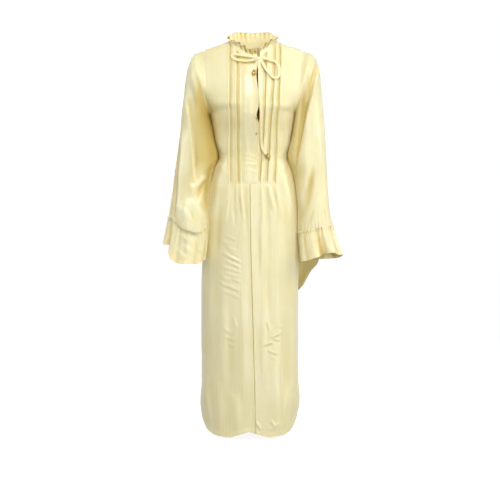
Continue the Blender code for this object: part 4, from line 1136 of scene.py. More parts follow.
# The back panel: the body's form with waves and folds, its edge columns tucked under its neighbours
def makeBack():
    rows = panelRows(1)
    edge = tableColumn(bodySections, 2, rows[0]) * rows[2]
    share = np.sin(np.radians(np.linspace(-90, 90, fineness["backColumns"])))[None, :]
    x, z, foot = panelGrid(share * edge[:, None], edge, rows, 1)
    base = bodyPoint(x, z, 1)
    normal = bodyNormal(base, 1)
    fromSide = 1 - np.abs(share)
    calm = climb(fromSide, 0, backPanel["foldFade"])
    wave = backWave(share, z) * climb(fromSide, 0, backPanel["waveFade"])
    folds = foldRelief(base, backPanel["folds"]) * calm
    relief = wave + folds + drift(x, z, 5.0, backPanel["drift"]) * climb(-z, *backPanel["hang"]) * calm
    extra = hemStep(z, foot, backPanel["thickness"])
    outer = tuckUnder(base + normal * (relief + extra)[..., None], normal)
    outer = tuckUnder(outer[:, ::-1], repeatEdge(normal, 0, 1)[:, ::-1])[:, ::-1]
    # Painted shade in deep folds, in the hollows of the waves and on the sides beside the sleeves
    depth = paintedFoldShade(folds + backPanel["waveShade"] * wave, frontPanel["paintedShadeReach"])
    depth = np.maximum(depth, paintedSideShade(np.abs(share), z))
    thick = backPanel["thickness"] + repeatEdge(extra, 1, 1)
    made = clothWall("back_cloth", outer, thick, depth=repeatEdge(depth, 1, 1))
    dress(made, satin, ["back"])


# Sleeve sections from the armhole down
# outer x, outer height, inner x, inner height, front depth, back depth, how far it hangs forward
sleeveSections = {
    "right": (
        (0.2090, -0.0285, 0.1520, -0.2490, 0.078, 0.082, 0.000),
        (0.2290, -0.0480, 0.1512, -0.2560, 0.076, 0.082, 0.000),
        (0.2385, -0.0850, 0.1500, -0.2640, 0.071, 0.079, 0.001),
        (0.2455, -0.1490, 0.1478, -0.2760, 0.065, 0.074, 0.003),
        (0.2520, -0.2150, 0.1446, -0.2950, 0.060, 0.070, 0.006),
        (0.2590, -0.2950, 0.1380, -0.3350, 0.057, 0.066, 0.011),
        (0.2642, -0.3850, 0.1245, -0.4020, 0.056, 0.064, 0.018),
        (0.2672, -0.4600, 0.1465, -0.4700, 0.056, 0.063, 0.025),
        (0.2705, -0.5300, 0.1570, -0.5400, 0.057, 0.063, 0.032),
        (0.2755, -0.5950, 0.1610, -0.6100, 0.058, 0.062, 0.039),
        (0.2860, -0.6420, 0.1610, -0.6660, 0.054, 0.056, 0.045),
    ),
    "left": (
        (0.2130, -0.0330, 0.1500, -0.2490, 0.078, 0.082, 0.000),
        (0.2300, -0.0600, 0.1492, -0.2560, 0.076, 0.082, 0.000),
        (0.2410, -0.1000, 0.1478, -0.2640, 0.071, 0.079, 0.001),
        (0.2480, -0.1600, 0.1455, -0.2760, 0.065, 0.074, 0.003),
        (0.2530, -0.2250, 0.1425, -0.2950, 0.061, 0.070, 0.007),
        (0.2590, -0.3000, 0.1360, -0.3350, 0.058, 0.066, 0.013),
        (0.2695, -0.3900, 0.1225, -0.4020, 0.057, 0.064, 0.021),
        (0.2790, -0.4600, 0.1445, -0.4700, 0.058, 0.063, 0.030),
        (0.2865, -0.5300, 0.1535, -0.5400, 0.062, 0.063, 0.039),
        (0.2950, -0.5900, 0.1565, -0.6150, 0.070, 0.062, 0.048),
        (0.2990, -0.6130, 0.1550, -0.6560, 0.066, 0.056, 0.055),
    ),
}

# Sleeve folds of the front and back halves, in mm as above
sleeve = {
    "thickness": 0.0009,
    "drift": 0.0014,
    "shade": 0.85,              # how strong the painted shade on the low side of a crisp fold is
    "leave": 1.25,              # how firmly the cloth runs on in line with the body
    "underlap": (0.005, 0.0014),    # the armhole's allowance under the body's panels: length and depth
    "edgeCalm": 0.45,           # sine of the angle from a seam below which folds fade
    # section where each starts, and over how many sections it grows
    "foldStart": (0.6, 2),
    "ledgeStart": (0.2, 1.0),
    "shadeStart": (0.8, 0.8),
    "shadeEnd": (9.2, -2),
    "driftEnd": 0.7,            # sections above the cuff
    "gatherHeight": 0.0011,
    "gatherReach": 0.45,        # sections above the cuff
    "paintedShadeReach": 0.0060,
    "armpitShade": (0.35, 20),   # painted shade in the armpit: strength, reach in degrees
    "cut": (0.30, 0.72, 0.150),
    "right": {
        "innerShade": (0.62, 92, 30),        # painted shade on the plane towards the body: strength, degrees where it starts, span
        "ledges": (
            (243, -40, 150, -484, 10.5, 46, -7),
            (251, -372, 250, -566, 1.6, 12, 0),
        ),
        "front": (
            (186, -90, 156, -430, 13, -7.5, -3),
            (168, -200, 148, -380, 7, 2.6, 0),
            (232, -352, 168, -646, 13, -5.5, -6),
            (240, -300, 212, -640, 14, 3.4, -4),
            (214, -360, 178, -520, 12, 2.2, 3),
            (206, -500, 180, -610, 8, 2.0, 3),
            (264, -430, 266, -630, 7, 2.0, 0),
            (222, -566, 196, -652, 6, -2.2, 0),
            (252, -580, 264, -640, 5, -2.0, 0),
            (200, -70, 206, -190, 16, 2.0, 4),
            (230, -520, 216, -600, 5, 1.4, -2),
        ),
        "back": (
            (226, -60, 168, -380, 14, 5.0, -10),
            (206, -130, 150, -420, 14, -5.5, -8),
            (236, -260, 190, -560, 14, 4.0, 9),
            (248, -380, 222, -640, 10, -3.2, 5),
            (196, -430, 168, -630, 9, 2.8, 4),
            (178, -300, 148, -410, 7, 2.6, 3),
            (258, -480, 252, -640, 8, 2.2, 0),
            (216, -590, 190, -650, 6, -1.6, 0),
        ),
    },
    "left": {
        "innerShade": (0.95, 66, 24),
        "ledges": (
            (-236, -170, -203, -520, 6.5, -34, 5),
            (-250, -300, -273, -640, 5.5, 34, 2),
        ),
        "bag": {"rise": 0.50, "forwardRise": 1.7, "centre": 96, "width": 50, "sink": 0.046, "forward": 0.016},
        "front": (
            (-218, -44, -190, -236, 10, 5.0, 2),
            (-174, -90, -130, -410, 25, -9.0, -3),
            (-132, -360, -162, -610, 25, -8.0, 2),
            (-250, -180, -268, -470, 13, 3.0, 4),
            (-164, -484, -208, -556, 9, -6.5, -4),
            (-160, -470, -214, -520, 8, 3.4, -4),
            (-204, -560, -178, -640, 11, 4.5, -2),
            (-240, -560, -226, -640, 14, 4.0, 2),
            (-262, -570, -204, -640, 7, -2.4, -14),
            (-278, -500, -286, -590, 7, 2.4, 0),
            (-222, -500, -196, -560, 10, 2.2, 0),
        ),
        "back": (
            (-222, -56, -170, -360, 14, 5.0, 10),
            (-204, -130, -152, -420, 14, -5.5, 8),
            (-240, -260, -196, -560, 14, 4.0, -9),
            (-256, -360, -240, -600, 10, -3.2, -5),
            (-192, -430, -170, -610, 9, 2.8, -4),
            (-176, -310, -150, -410, 7, 2.6, -3),
            (-276, -470, -282, -590, 8, 2.4, 0),
        ),
    },
}


# Points of the armhole at fine steps of the top table, angle 0 at the shoulder tip and 180 under the arm
def armhole(sign, face):
    last = len(panelTopRows) - 1
    fine = np.linspace(shoulderRow, last, (last - shoulderRow) * fineness["topSteps"] + 1)
    z = topColumn(0, fine)
    middle = (z[0] + z[-1]) / 2
    angle = np.arccos(np.clip((z - middle) / (z[0] - middle), -1, 1))
    x = tableColumn(bodySections, 1, z) + sign * tableColumn(bodySections, 2, z) * topColumn(1, fine)
    return bodyPoint(x, z, face), angle


# One oval section of a sleeve
def sleeveRing(row, angle, sign):
    outerX, outerZ, innerX, innerZ, front, back, forward = row
    swing = np.cos(angle)
    bulge = np.sin(angle)
    x = (outerX + innerX) / 2 + (outerX - innerX) / 2 * swing
    z = (outerZ + innerZ) / 2 + (outerZ - innerZ) / 2 * swing
    y = -np.where(bulge >= 0, front, back) * bulge - forward
    return np.stack([sign * x, y, z], axis=-1)


# Cubic pieces through given sections with given slopes; s counts sections from the first
def betweenSections(rings, slopes, s):
    k = np.clip(np.floor(s).astype(int), 0, len(rings) - 2)
    t = (s - k).reshape((-1,) + (1,) * (rings.ndim - 1))
    ease = smoothStep(t)
    return (rings[k] * (1 - ease) + rings[k + 1] * ease
            + slopes[k] * t * (1 - t) ** 2 + slopes[k + 1] * t * t * (t - 1))


# Half a sleeve: it leaves the armhole in line with the body's cloth and runs on through its sections
def sleeveGrid(side, half):
    sign = sideSign[side]
    face = -1 if half == "front" else 1
    start, fromTop = armhole(sign, face)
    angle = fromTop if half == "front" else 2 * np.pi - fromTop
    rings = np.array([start] + [sleeveRing(row, angle, sign) for row in sleeveSections[side]])
    slopes = np.gradient(rings, axis=0)
    leave = unit(np.cross(np.gradient(start, axis=0), bodyNormal(start, face)))
    leave = leave * np.sign(leave[:, :1] * sign)
    reach = np.linalg.norm(slopes[0], axis=-1, keepdims=True)
    blend = np.sin(np.clip(fromTop, 0, np.pi))[:, None] ** 0.5
    slopes[0] = slopes[0] * (1 - blend) + leave * reach * sleeve["leave"] * blend
    count = len(rings) - 1
    s = np.linspace(0, count, count * fineness["sleeveSteps"] + 1)
    grid = betweenSections(rings, slopes, s)
    bag = sleeve[side].get("bag")
    if bag and half == "front":
        grid = grid + bagShift(angle, s, bag)
    length, depth = sleeve["underlap"]
    first = grid[:1] + unit(grid[:1] - grid[1:2]) * length - bodyNormal(grid[:1], face) * depth
    return np.concatenate([first, grid]), angle, fromTop, np.concatenate([[0.0], s])


# The full sleeve bags over its cuff: close above the seam it sinks and comes forward, and rolls back under
# Each is a distance above the seam times e to the minus that distance, in a window round the sleeve
def bagShift(angle, s, bag):
    above = (s[-1] - s)[:, None] / bag["rise"]
    higher = above / bag["forwardRise"]
    window = np.exp(-((np.degrees(angle)[None, :] - bag["centre"]) / bag["width"]) ** 4)
    sink = above * np.exp(1 - above) * window
    forward = higher * np.exp(1 - higher) * window
    return np.stack([np.zeros(sink.shape), -bag["forward"] * forward, -bag["sink"] * sink], axis=-1)


# Half a sleeve with its folds, crisp folds and gathers; painted shade darkens it where it faces the body, in the
# armpit, in deep folds and on the low side of its crisp folds
def makeSleeve(side, half):
    sign = sideSign[side]
    grid, angle, fromTop, s = sleeveGrid(side, half)
    normal = gridNormal(grid)
    bulge = climb(np.abs(np.sin(angle)), 0, sleeve["edgeCalm"])[None, :]
    begin = climb(s, *sleeve["foldStart"])[:, None]
    end = climb(s[-1] - s, 0, sleeve["driftEnd"])[:, None]
    relief = foldRelief(grid, sleeve[side][half]) * begin
    shade = 0.0
    if half == "front":
        raised, shade = ledgeRelief(grid, sleeve[side]["ledges"])
        relief += raised * climb(s, *sleeve["ledgeStart"])[:, None]
    relief += drift(grid[..., 0] * 2, grid[..., 2] * 1.5, 3.0, sleeve["drift"]) * begin * end
    gathers = np.sin(angle * 26 + 2 * np.sin(angle * 3 + sign)) + 0.6 * np.sin(angle * 41 + 1.7 * sign)
    atCuff = bell(s, s[-1], sleeve["gatherReach"])[:, None]
    relief += sleeve["gatherHeight"] * gathers[None, :] * atCuff * bulge
    relief = relief * bulge
    # Painted shade where the sleeve faces the body and in the armpit, where the body shades it
    degrees = np.degrees(fromTop)[None, :]
    strength, first, span = sleeve[side]["innerShade"]
    armpit, reach = sleeve["armpitShade"]
    beside = armpit * bell(degrees, 180, reach) + strength * climb(degrees, first, span)
    beside = beside * climb(s, *sleeve["shadeStart"])[:, None] * climb(s, *sleeve["shadeEnd"])[:, None]
    depth = np.maximum(paintedFoldShade(relief, sleeve["paintedShadeReach"]), beside)
    depth = np.maximum(depth, sleeve["shade"] * shade * begin)
    name = "sleeve_" + side + "_" + half
    made = clothWall(name + "_cloth", grid + normal * relief[..., None], sleeve["thickness"], depth=depth)
    dress(made, satin, [name])


print("body")
makeFront("left")
makeFront("right")
makeBack()
print("sleeves")
for side in ("left", "right"):
    for half in ("front", "back"):
        makeSleeve(side, half)

# How far the band's free edge curls off the panel: soft humps along the slit, growing towards the edge
def slitLift(x, z):
    across = climb(x, placket["curlStart"], placket["right"] - placket["curlStart"])
    return sum(lift * bell(z, height, half) for height, half, lift in placket["curls"]) * across ** 2


# Where the band's top lies: along the neckline in front, by the power that its rows climb with
def neckHeight(x):
    edgeZ, _, centreZ, _ = panelTopRows[0]
    rise = (edgeZ - centreZ) * (np.abs(x) / bodySections[0][2]) ** neckRisePower
    return centreZ + rise - placket["neckGap"]


# The band lies flush at the neck, along its left edge, at its foot and below the slit,
# and stands off beside the slit
def bandLift(x, z):
    top = climb(neckHeight(x) - z, 0, placket["topFlush"])
    left = climb(x, placket["left"], placket["flush"])
    foot = climb(z, placket["bottom"], placket["flush"])
    right = climb(x, placket["right"], -placket["flush"])
    below = climb(z, placket["slitEnd"], -placket["belowSlit"])
    ease = top * left * foot * (1 - below * (1 - right))
    return placket["seat"] + (placket["lift"] - placket["seat"]) * smoothStep(ease)


# How far the band's free edge draws back from the slit: a bump at each notch, growing towards the edge
def edgeDrawn(x, z):
    notch = sum(size * bell(z, level, half) for level, half, size in placket["notches"])
    return notch * climb(x, placket["left"], placket["right"] - placket["left"]) ** 2


# The placket band with rounded edges, rows of stitches and shallow folds
def makePlacket():
    u = np.linspace(0, 1, placket["columns"])
    crowded = np.clip(u + placket["crowding"] * np.sin(4 * np.pi * u), 0, 1)
    x = placket["left"] + (placket["right"] - placket["left"]) * crowded
    neck = neckHeight(x)
    t = np.linspace(0, 1, placket["rows"])[:, None]
    z = neck[None, :] + (placket["bottom"] - neck[None, :]) * t
    across = x - edgeDrawn(x, z)
    base = bodyPoint(across, z, -1)
    height, width = placket["rib"]
    left = across - placket["left"]
    right = placket["right"] - x
    foot = z - placket["bottom"]
    stitches = bell(left, *placket["sideStitch"]) + sum(bell(foot, *row) for row in placket["footStitches"])
    rib = bell(left, placket["ribPlace"], width) + bell(right, placket["ribPlace"], width)
    rib = height * (rib - placket["stitchDepth"] * stitches)
    folds = foldRelief(base, placket["folds"]) + drift(across * 3, z, 8.0, placket["drift"])
    lift = bandLift(x, z)
    eased = (lift - placket["seat"]) / (placket["lift"] - placket["seat"])
    ribShare = placket["flatRib"] + (1 - placket["flatRib"]) * eased
    relief = lift + slitLift(x, z) + rib * ribShare + folds * eased
    # Painted shade in the hollows of the rims' stitches and of its folds
    depth = paintedFoldShade(np.minimum(rib, 0) + np.minimum(folds, 0), placket["paintedShadeReach"])
    outer = base + bodyNormal(base, -1) * relief[..., None]
    made = clothWall("placket_cloth", outer, placket["thickness"], depth=depth)
    dress(made, satin, ["placket"])


# Cuff ruffles, from the sleeve's last section to a wavy hem
# hem sizes: outer x, inner x, front depth, back depth, how far forward
# hem rows: angle round the cuff in degrees, height, share of the full width there
cuffRuffle = {
    "thickness": 0.0009,
    "hemThickness": 0.0015,
    "hemShare": 0.91,           # share of the height where the hem starts
    "columns": 360,
    "rows": 36,
    "gathers": 41,
    "gatherDepth": 0.0017,
    "gatherPlace": (0.04, 0.13),    # share of the height, half width
    "spread": 1.2,              # power by which the ruffle widens downwards, and its folds grow
    "foldGrowth": 0.75,
    "seamDrop": 0.0008,
    "smallWave": 0.0009,
    # depth, place as a share of the height and half width: lip under the seam, stitches of the hem
    "lines": ((0.0016, 0.05, 0.05), (-0.0009, 0.905, 0.008)),
    "foldShade": 0.0085,         # how deep folds are fully drawn in painted shade, gathers, and folds of the inner side
    "gatherShade": 0.0010,
    "innerShade": 0.0100,
    "cut": (0.54, 0.120),
    "cut": (0.54, 0.120),
    # folds: angle round the cuff and half width in degrees, height at the hem in mm (a trough is negative)
    "right": {
        "folds": ((12, 12, 4.0), (36, 10, -3.0), (60, 12, 6.0), (86, 11, -11.0), (110, 12, 5.0),
                  (134, 9, -2.5), (152, 11, 3.5), (175, 9, -3.0), (200, 12, 5.0), (228, 12, -6.0), (256, 13, 5.0),
                  (284, 12, -7.0), (310, 12, 5.0), (338, 11, -3.5)),
        "creases": ((212, -672, 188, -752, 7, 2.2, 3), (240, -690, 214, -716, 5, -1.8, 2),
                    (268, -680, 292, -742, 6, 2.0, -2), (180, -690, 176, -740, 5, -1.6, 0),
                    (286, -690, 262, -700, 5, 1.4, 1)),
        "hem": (0.3190, 0.1700, 0.062, 0.060, 0.055),
        "rows": ((0, -0.7550, 1.00), (30, -0.7500, 1.00), (58, -0.7450, 0.97), (78, -0.7440, 0.84),
                 (96, -0.7560, 0.98), (112, -0.7640, 1.05), (140, -0.7720, 1.00), (180, -0.7760, 1.00),
                 (225, -0.7700, 1.00), (270, -0.7670, 0.98), (315, -0.7640, 1.00), (360, -0.7550, 1.00)),
    },
    "left": {
        "folds": ((10, 11, 4.0), (30, 9, -6.5), (50, 10, 6.0), (73, 10, -3.0), (96, 13, 4.0), (122, 9, -3.5),
                  (140, 9, 4.0), (158, 8, -5.5), (176, 9, 4.0), (204, 12, 5.0), (232, 12, -6.0),
                  (258, 12, 5.0), (284, 12, -6.5), (311, 12, 5.0), (338, 11, -4.0)),
        "creases": ((-262, -676, -206, -706, 6, 2.8, 3), (-254, -706, -196, -736, 6, -2.8, -3),
                    (-236, -664, -218, -772, 9, 3.0, 4), (-206, -684, -180, -764, 6, -3.0, 2),
                    (-268, -724, -230, -768, 7, 2.6, 2), (-214, -664, -184, -690, 5, 2.4, -2),
                    (-196, -724, -172, -744, 5, 2.2, 1), (-248, -740, -216, -752, 5, -1.8, 1)),
        "hem": (0.3160, 0.1690, 0.064, 0.058, 0.066),
        "rows": ((0, -0.7120, 1.00), (20, -0.7150, 0.98), (36, -0.7170, 0.74), (47, -0.7420, 0.98),
                 (60, -0.7720, 1.07), (90, -0.7830, 1.03), (125, -0.7830, 1.02), (152, -0.7760, 1.00),
                 (180, -0.7640, 1.00), (225, -0.7400, 1.00), (270, -0.7240, 1.00), (330, -0.7120, 1.00),
                 (360, -0.7120, 1.00)),
    },
}


# The ruffle's plain form: from the sleeve's last section down to the hem, which is higher and wider in places
def cuffGrid(side):
    sign = sideSign[side]
    own = cuffRuffle[side]
    outerX, innerX, front, back, forward = own["hem"]
    angle = np.linspace(0, 2 * np.pi, cuffRuffle["columns"], endpoint=False)
    height, width = (tableColumn(own["rows"], k, np.degrees(angle)) for k in (1, 2))
    start = sleeveRing(sleeveSections[side][-1], angle, sign)
    bulge = np.sin(angle)
    x = (outerX + innerX) / 2 + (outerX - innerX) / 2 * np.cos(angle) * width
    y = -np.where(bulge >= 0, front, back) * bulge * width - forward
    run = (np.stack([sign * x, y, height], axis=-1) - start)[None]
    t = np.linspace(0, 1, cuffRuffle["rows"])[:, None, None]
    across = start[None, :, :2] + run[..., :2] * t ** cuffRuffle["spread"]
    down = start[None, :, 2:] + run[..., 2:] * t - cuffRuffle["seamDrop"] * (1 - t)
    return np.concatenate([across, down], axis=-1), angle, t[..., 0]


# The ruffle hangs in uneven folds that grow towards the hem and is crimped in small puckers at its seam
def makeCuff(side):
    sign = sideSign[side]
    grid, angle, t = cuffGrid(side)
    degrees = np.degrees(angle)
    hung = sum(size / 1000 * bell((degrees - place + 180) % 360 - 180, 0, half)
               for place, half, size in cuffRuffle[side]["folds"])
    hung = hung + foldRelief(grid, cuffRuffle[side]["creases"])
    small = np.sin(angle * 23 + 1.8 * np.sin(angle * 3 + 2.0 * sign)) * (1 + 0.6 * np.sin(angle * 5 + 1))
    gathers = np.sin(angle * cuffRuffle["gathers"] + 3.4 * np.sin(angle * 5 + sign)
                     + 1.4 * np.sin(angle * 11 + 2))
    gathers = gathers * (0.55 + 0.45 * np.sin(angle * 9 + 1.3 * sign))
    puckers = cuffRuffle["gatherDepth"] * gathers * bell(t, *cuffRuffle["gatherPlace"])
    wave = hung * t ** cuffRuffle["foldGrowth"] + puckers
    wave = wave + cuffRuffle["smallWave"] * np.sin(np.pi * t ** 0.7) * small
    lines = sum(size * bell(t, place, half) for size, place, half in cuffRuffle["lines"])
    outer = grid + gridNormal(grid, ring=True) * (wave + lines)[..., None]
    extra = (cuffRuffle["hemThickness"] - cuffRuffle["thickness"]) * (t > cuffRuffle["hemShare"])
    # Painted shade in the folds, in the puckers at the seam and in the folds of the inner side
    depth = paintedFoldShade(wave - puckers, cuffRuffle["foldShade"]) + paintedFoldShade(puckers, cuffRuffle["gatherShade"])
    name = "cuff_ruffle_" + side
    made = clothWall(name + "_cloth", outer, cuffRuffle["thickness"] + extra, ring=True,
                     depth=np.clip(depth, 0, 1), innerPaintedShade=paintedFoldShade(-wave, cuffRuffle["innerShade"]))
    dress(made, satin, [name])


# Wings between the back panel and the sleeve's back, with a free lower edge
wing = {
    "thickness": 0.0009,
    "bodyAngle": 48.0,          # degrees round the body from its side, and round the sleeve
    "sleeveAngle": 254.3,
    "seat": (3.0, 10.0, 9),     # first and last section where it is sewn to the sleeve, points between them
    "seatAway": (0.25, 0.95),   # direction in which it stands off the sleeve, outwards and back
    "top": -0.272,
    "middle": -0.660,
    "belly": (0.004, 0.014),    # how far it bellies out at its top and at its foot
    "ripple": 0.003,
    "smallRipple": 0.0012,
    "edgeCalm": 0.12,           # share of the width at each edge over which ripples fade
    "paintedShadeReach": 0.0120,
    "lift": 0.0009,
    "columns": 48,
    "rows": 120,
    # edge: x, height, depth behind
    "right": {
        "cut": (0.17, 0.68, 0.075),
        "foot": -0.950,
        "edge": ((0.244, -0.700, 0.030), (0.240, -0.772, 0.034), (0.212, -0.812, 0.044),
                 (0.186, -0.862, 0.062)),
    },
    "left": {
        "cut": (0.16, 0.55, 0.060),
        "foot": -0.800,
        "edge": ((0.243, -0.660, 0.026), (0.228, -0.700, 0.030), (0.210, -0.730, 0.042),
                 (0.188, -0.760, 0.060)),
    },
}


# Points along the sleeve's back at one angle, by the same cubic pieces as the sleeve
def sleeveLine(side, turn, s):
    sign = sideSign[side]
    start, angle = armhole(sign, 1)
    first = np.array([np.interp(2 * np.pi - turn, angle, start[:, k]) for k in range(3)])
    rings = np.array([first] + [sleeveRing(row, np.array(turn), sign) for row in sleeveSections[side]])
    return betweenSections(rings, np.gradient(rings, axis=0), s)


# A wing: straight across from the back panel to the sleeve and its free edge, bellied back and rippled
def makeWing(side):
    sign = sideSign[side]
    own = wing[side]
    out, behind = wing["seatAway"]
    seat = sleeveLine(side, math.radians(wing["sleeveAngle"]), np.linspace(*wing["seat"]))
    seat = seat + np.array([sign * out, behind, 0]) * wing["lift"]
    tail = np.array([(sign * x, y, z) for x, z, y in own["edge"]])
    outerEdge = np.concatenate([seat, tail])
    upper = np.linspace(wing["top"], wing["middle"], len(seat))
    levels = np.concatenate([upper, np.linspace(wing["middle"], own["foot"], len(tail) + 1)[1:]])
    index = np.arange(len(levels))
    steps = np.linspace(0, index[-1], wing["rows"])
    outerEdge = np.stack([smoothTable(index, outerEdge[:, k], steps) for k in range(3)], axis=-1)
    levels = smoothTable(index, levels, steps)
    lean = math.cos(math.radians(wing["bodyAngle"]))
    x = tableColumn(bodySections, 1, levels) + sign * tableColumn(bodySections, 2, levels) * lean
    innerEdge = bodyPoint(x, levels, 1)
    standOff = wing["lift"] + np.maximum(backWave(lean, levels), 0)
    innerEdge = innerEdge + bodyNormal(innerEdge, 1) * standOff[:, None]
    share = np.linspace(0, 1, wing["columns"])[None, :]
    down = np.linspace(0, 1, wing["rows"])[:, None]
    grid = innerEdge[:, None, :] + (outerEdge - innerEdge)[:, None, :] * share[..., None]
    upperBelly, lowerBelly = wing["belly"]
    bow = np.sin(np.pi * share)
    ripples = wing["ripple"] * np.sin(4 * np.pi * share + 1.2 * np.sin(3 * down)) * down
    small = wing["smallRipple"] * np.sin(13 * share + 5 * down) * bow * down
    calm = climb(np.minimum(share, 1 - share), 0, wing["edgeCalm"])
    grid[..., 1] += bow * (upperBelly + (lowerBelly - upperBelly) * down) + (ripples + small) * calm
    grid[..., 1] += wing["thickness"]
    normal = np.broadcast_to(np.array([0.0, 1.0, 0.0]), grid.shape)
    # Painted shade in the hollows of the ripples on the front side; none on the inner side
    made = clothWall("wing_" + side + "_cloth", grid, wing["thickness"], normal=normal,
                     depth=paintedFoldShade(ripples, wing["paintedShadeReach"]), innerPaintedShade=0.0)
    dress(made, satin, ["wing_" + side])


collar = {
    "thickness": 0.0009,
    "standHeight": (0.015, 0.008, -0.006),      # in front, added behind, added at the neck's sides
    "standTaper": 0.96,
    "standRows": 16,
    "standColumns": 360,
    "overlap": 0.0006,          # how far the stand runs on under the ruffle and below the neckline
    "standLift": 0.0004,
    "pucker": 0.0006,
    "puckerStart": (0.35, 0.65),    # share of the height, and the span over which puckers grow
    "puckerShade": 0.0016,
    # height, place as a share of the height, half width: rolled foot and top, stitches
    "standLines": ((0.0007, 0.04, 0.06), (0.0006, 0.97, 0.05), (-0.0005, 0.14, 0.05)),
    # ruffle: degrees from the centre back, its length, how far it rolls over and how far it leans out
    # at its seam, in radians
    "roll": ((0, 0.0325, 0.10, 0.00), (36, 0.0318, 0.10, 0.00), (46, 0.0285, 0.20, 0.02),
             (54, 0.0205, 0.50, 0.05), (64, 0.0130, 0.70, 0.05), (80, 0.0080, 0.90, 0.05),
             (96, 0.0085, 1.20, 0.10), (108, 0.0130, 1.60, 0.20), (120, 0.0215, 1.90, 0.30),
             (132, 0.0255, 1.40, 0.25), (148, 0.0260, 0.90, 0.20), (164, 0.0230, 0.90, 0.25),
             (180, 0.0170, 1.00, 0.30)),
    "gathers": 31,
    # large lobes: degrees from the centre back (right is positive), half width in degrees, height in mm
    "lobes": ((-74, 12, -3.5), (-96, 7, -2.0), (-124, 8, -3.0), (-140, 8, 2.5), (-158, 8, -3.0),
              (152, 9, -3.0), (134, 8, 2.5), (118, 8, -3.0)),
    "crowding": 0.02,           # how much closer the waves stand behind than in front
    "uneven": 0.8,
    "wave": 0.0036,
    # degrees from the centre back, span, value behind and what is added in front
    "waveSize": (40, 60, 0.62, 0.50),       # share of the wave's height
    "seamShare": (95, 30, 0.18, 0.40),      # share of the wave that already stands at the seam
    "waveShade": (95, 30, 0.0032, -0.0012),  # how deep a wave is fully drawn in painted shade
    "crimp": (0.0006, 0.08, 0.22),          # height, place as a share of the length, half width
    "sway": 0.0014,
    "rim": (0.94, 0.75, 0.9),   # share of the length where it starts, cloth's thickness, added at the rim
    "standCut": (0.50, 0.027),
    "ruffleCut": (0.66, 0.025),
    "ruffleLift": 0.0008,
    "ruffleRows": 21,
    "ruffleColumns": 840,
    "endShare": 0.45,
    "endAngle": 0.45,
    "gapAngle": 3.0,
    "slitX": 0.0215,
}


# The neckline round the neck: angle 0 at the centre front, 90 at the right side, 180 behind
def neckline(angle):
    share = np.abs(np.sin(angle))
    front = np.cos(angle) >= 0
    top = panelTopRows[0]
    centreZ = np.where(front, top[2], top[3])
    z = centreZ + (top[0] - centreZ) * share ** neckRisePower
    x = np.sin(angle) * bodySections[0][2]
    return np.where(front[..., None], bodyPoint(x, z, -1), bodyPoint(x, z, 1))


# Even angles round the neck, from one side of the slit to the other
def collarAngles(count):
    start = math.asin(collar["slitX"] / bodySections[0][2]) + math.radians(collar["gapAngle"])
    return np.linspace(start, start + 2 * math.pi - 2 * math.radians(collar["gapAngle"]), count)


# A height that changes round the neck: in front, more behind, less at the sides
def aroundNeck(heights, angle):
    front, behind, side = heights
    return front + behind * (1 - np.cos(angle)) / 2 + side * np.sin(angle) ** 2


def neckOutward(points):
    return unit(points * np.array([1.0, 1.0, 0.0]))


def standTop(angle):
    top = neckline(angle) * np.array([collar["standTaper"], collar["standTaper"], 1.0])
    return top + aroundNeck(collar["standHeight"], angle)[..., None] * np.array([0, 0, 1.0])


# The stand: straight up from the neckline to its narrower top, puckered towards the ruffle's seam
def makeStand():
    angle = collarAngles(collar["standColumns"])
    overlap = np.array([0, 0, collar["overlap"]])
    base = neckline(angle) - overlap
    outward = neckOutward(base)[None]
    t = np.linspace(0, 1, collar["standRows"])[:, None]
    grid = base[None] + (standTop(angle) + overlap - base)[None] * t[..., None]
    pucker = collar["pucker"] * np.sin(angle * 58 + 2 * np.sin(angle * 4))[None, :]
    pucker = pucker * climb(t, *collar["puckerStart"])
    lines = sum(size * bell(t, place, half) for size, place, half in collar["standLines"])
    outer = grid + outward * (collar["standLift"] + pucker + lines)[..., None]
    # Painted shade in the puckers' hollows
    made = clothWall("collar_stand_cloth", outer, collar["thickness"],
                     normal=np.broadcast_to(outward, outer.shape),
                     depth=paintedFoldShade(pucker, collar["puckerShade"]))
    dress(made, satin, ["collar_stand"])


